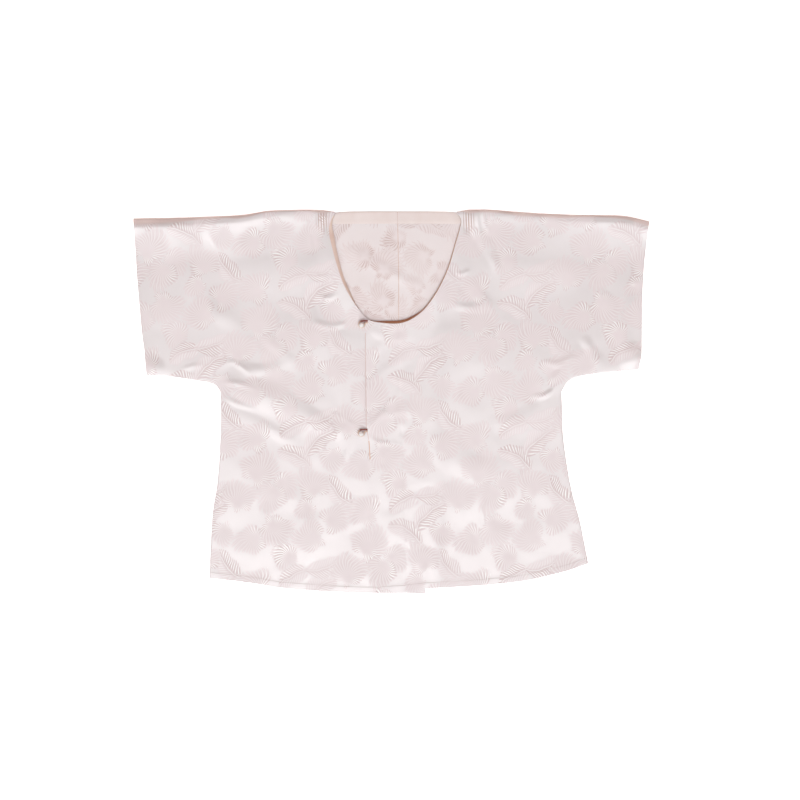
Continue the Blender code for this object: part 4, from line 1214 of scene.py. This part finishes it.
# The fastenings: a beige silk rouleau sewn to the overlap's edge, looped round the shank of a pearl ball
# button on the right front. The cord's upper run by its sewn end is painted dark maroon as shade.
CORD = 2.2
CORD_SIDES = 14
CORD_STEP = 0.5
# The cord's middle line, as (x, y) from the middle of its ball.
LOOP_PATH = (
    (8.5, 5.6), (2.5, 5.7), (-2.6, 4.7), (-4.6, 1.6), (-3.6, -2.2), (-0.2, -3.7), (3.0, -2.0), (4.0, 1.2),
    (5.4, 2.8), (8.5, 3.0),
)
BEIGE = ((0.74, 0.55, 0.44, 1), (0.84, 0.68, 0.58, 1))
MAROON_PAINTED_SHADE = (0.30, 0.10, 0.085, 1)
PEARL = ((0.94, 0.92, 0.91, 1), (0.90, 0.87, 0.86, 1))
CORD_SHADE_LENGTH = 10.5  # the cord is painted dark maroon for this length from its sewn end, as shade on its upper run
BIAS_THREADS = 9000.0
BALL = 7.4
SHANK_RADIUS = 0.9
SHANK_REACH = 0.47  # the shank meets the ball this share of its diameter below its middle


def rouleau_finish():
    """Beige silk cut on the bias, with painted dark maroon shade along its sewn end."""
    material, tree, shader = new_finish("beige_rouleau_silk", {"Roughness": 0.5, "Sheen Weight": 0.2})
    place = read_uv(tree, "cloth")
    bias = place.maths("SINE", (place.part(0) + place.part(1)) * BIAS_THREADS)
    beige = bias.between(-1.0, 1.0).blend(*BEIGE)
    # painted shade: the stretch by the sewn end turns dark maroon
    end = 1 - place.part(0).between(CORD_SHADE_LENGTH * MM, (CORD_SHADE_LENGTH + 1.0) * MM)
    tree.links.new(end.blend(beige, MAROON_PAINTED_SHADE).socket, shader.inputs["Base Color"])
    bump = place.node("ShaderNodeBump", {}, {"Strength": 0.5, "Distance": 0.0001, "Height": bias})
    tree.links.new(bump.socket, shader.inputs["Normal"])
    return material


def pearl_finish():
    """Glossy white, a little uneven."""
    values = {"Roughness": 0.16, "Metallic": 0.05, "Coat Weight": 0.6}
    material, tree, shader = new_finish("pearl_ball_glaze", values)
    place = Wire(tree, None).node("ShaderNodeTexCoord", {}, {}, "Object")
    tone = place.node("ShaderNodeTexNoise", {}, {"Vector": place, "Scale": 260.0, "Detail": 2.0})
    white = tone.between(0.3, 0.7).blend(*PEARL)
    tree.links.new(white.socket, shader.inputs["Base Color"])
    return material


def make_cord(name, x, y, material):
    """A round cord along the loop's path, at the level of the loop's solid."""
    path = smooth_line([(x + step_x, y + step_y) for step_x, step_y in LOOP_PATH], CORD_STEP)
    count = len(path)
    along = np.arange(count) * CORD_STEP
    across = outward_of(path, 1.0)
    low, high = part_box(name + "_loop")
    middle = (low.z + high.z) / 2 / MM
    cloth = Cloth()
    for number in range(CORD_SIDES):
        angle = math.tau * number / CORD_SIDES
        row = path + across * (CORD / 2 * math.cos(angle))
        rise = np.full(count, middle + CORD / 2 * math.sin(angle))
        cloth.add(row, rise, np.stack([along, np.full(count, CORD / 2 * angle)], 1))
    for number in range(CORD_SIDES):
        for n in range(count - 1):
            a, b = number * count + n, (number + 1) % CORD_SIDES * count + n
            cloth.faces.append((a, b, b + 1, a + 1))
    ends = [number * count for number in range(CORD_SIDES)]
    cloth.faces.append(tuple(ends[::-1]))
    cloth.faces.append(tuple(end + count - 1 for end in ends))
    return cloth.finish(name + "_rouleau", 0, [material])


def make_ball(name, material):
    """A ball on its shank, as high as the ball's solid."""
    low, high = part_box(name + "_ball")
    centre = ((low.x + high.x) / 2, (low.y + high.y) / 2, high.z - BALL / 2 * MM)
    bpy.ops.object.select_all(action="DESELECT")
    bpy.ops.mesh.primitive_uv_sphere_add(segments=48, ring_count=24, radius=BALL / 2 * MM, location=centre)
    ball = bpy.context.active_object
    ball.name = name + "_pearl"
    bpy.ops.object.mode_set(mode="EDIT")
    bpy.ops.mesh.select_all(action="DESELECT")
    shank_top = centre[2] - SHANK_REACH * BALL * MM
    shank_middle = (centre[0], centre[1], (shank_top + low.z) / 2)
    bpy.ops.mesh.primitive_cylinder_add(
        vertices=20, radius=SHANK_RADIUS * MM, depth=shank_top - low.z, location=shank_middle
    )
    bpy.ops.object.mode_set(mode="OBJECT")
    bpy.ops.object.transform_apply(location=True, rotation=True, scale=True)
    bpy.ops.object.shade_smooth_by_angle(angle=SMOOTH_ANGLE)
    ball.data.materials.clear()
    ball.data.materials.append(material)
    return ball


ROULEAU = rouleau_finish()
PEARL_GLAZE = pearl_finish()
for name, x, y in FASTENINGS:
    cord = make_cord(name, x, y, ROULEAU)
    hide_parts(name + "_loop")
    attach(cord, "root")

    ball = make_ball(name, PEARL_GLAZE)
    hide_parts(name + "_ball")
    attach(ball, "root")
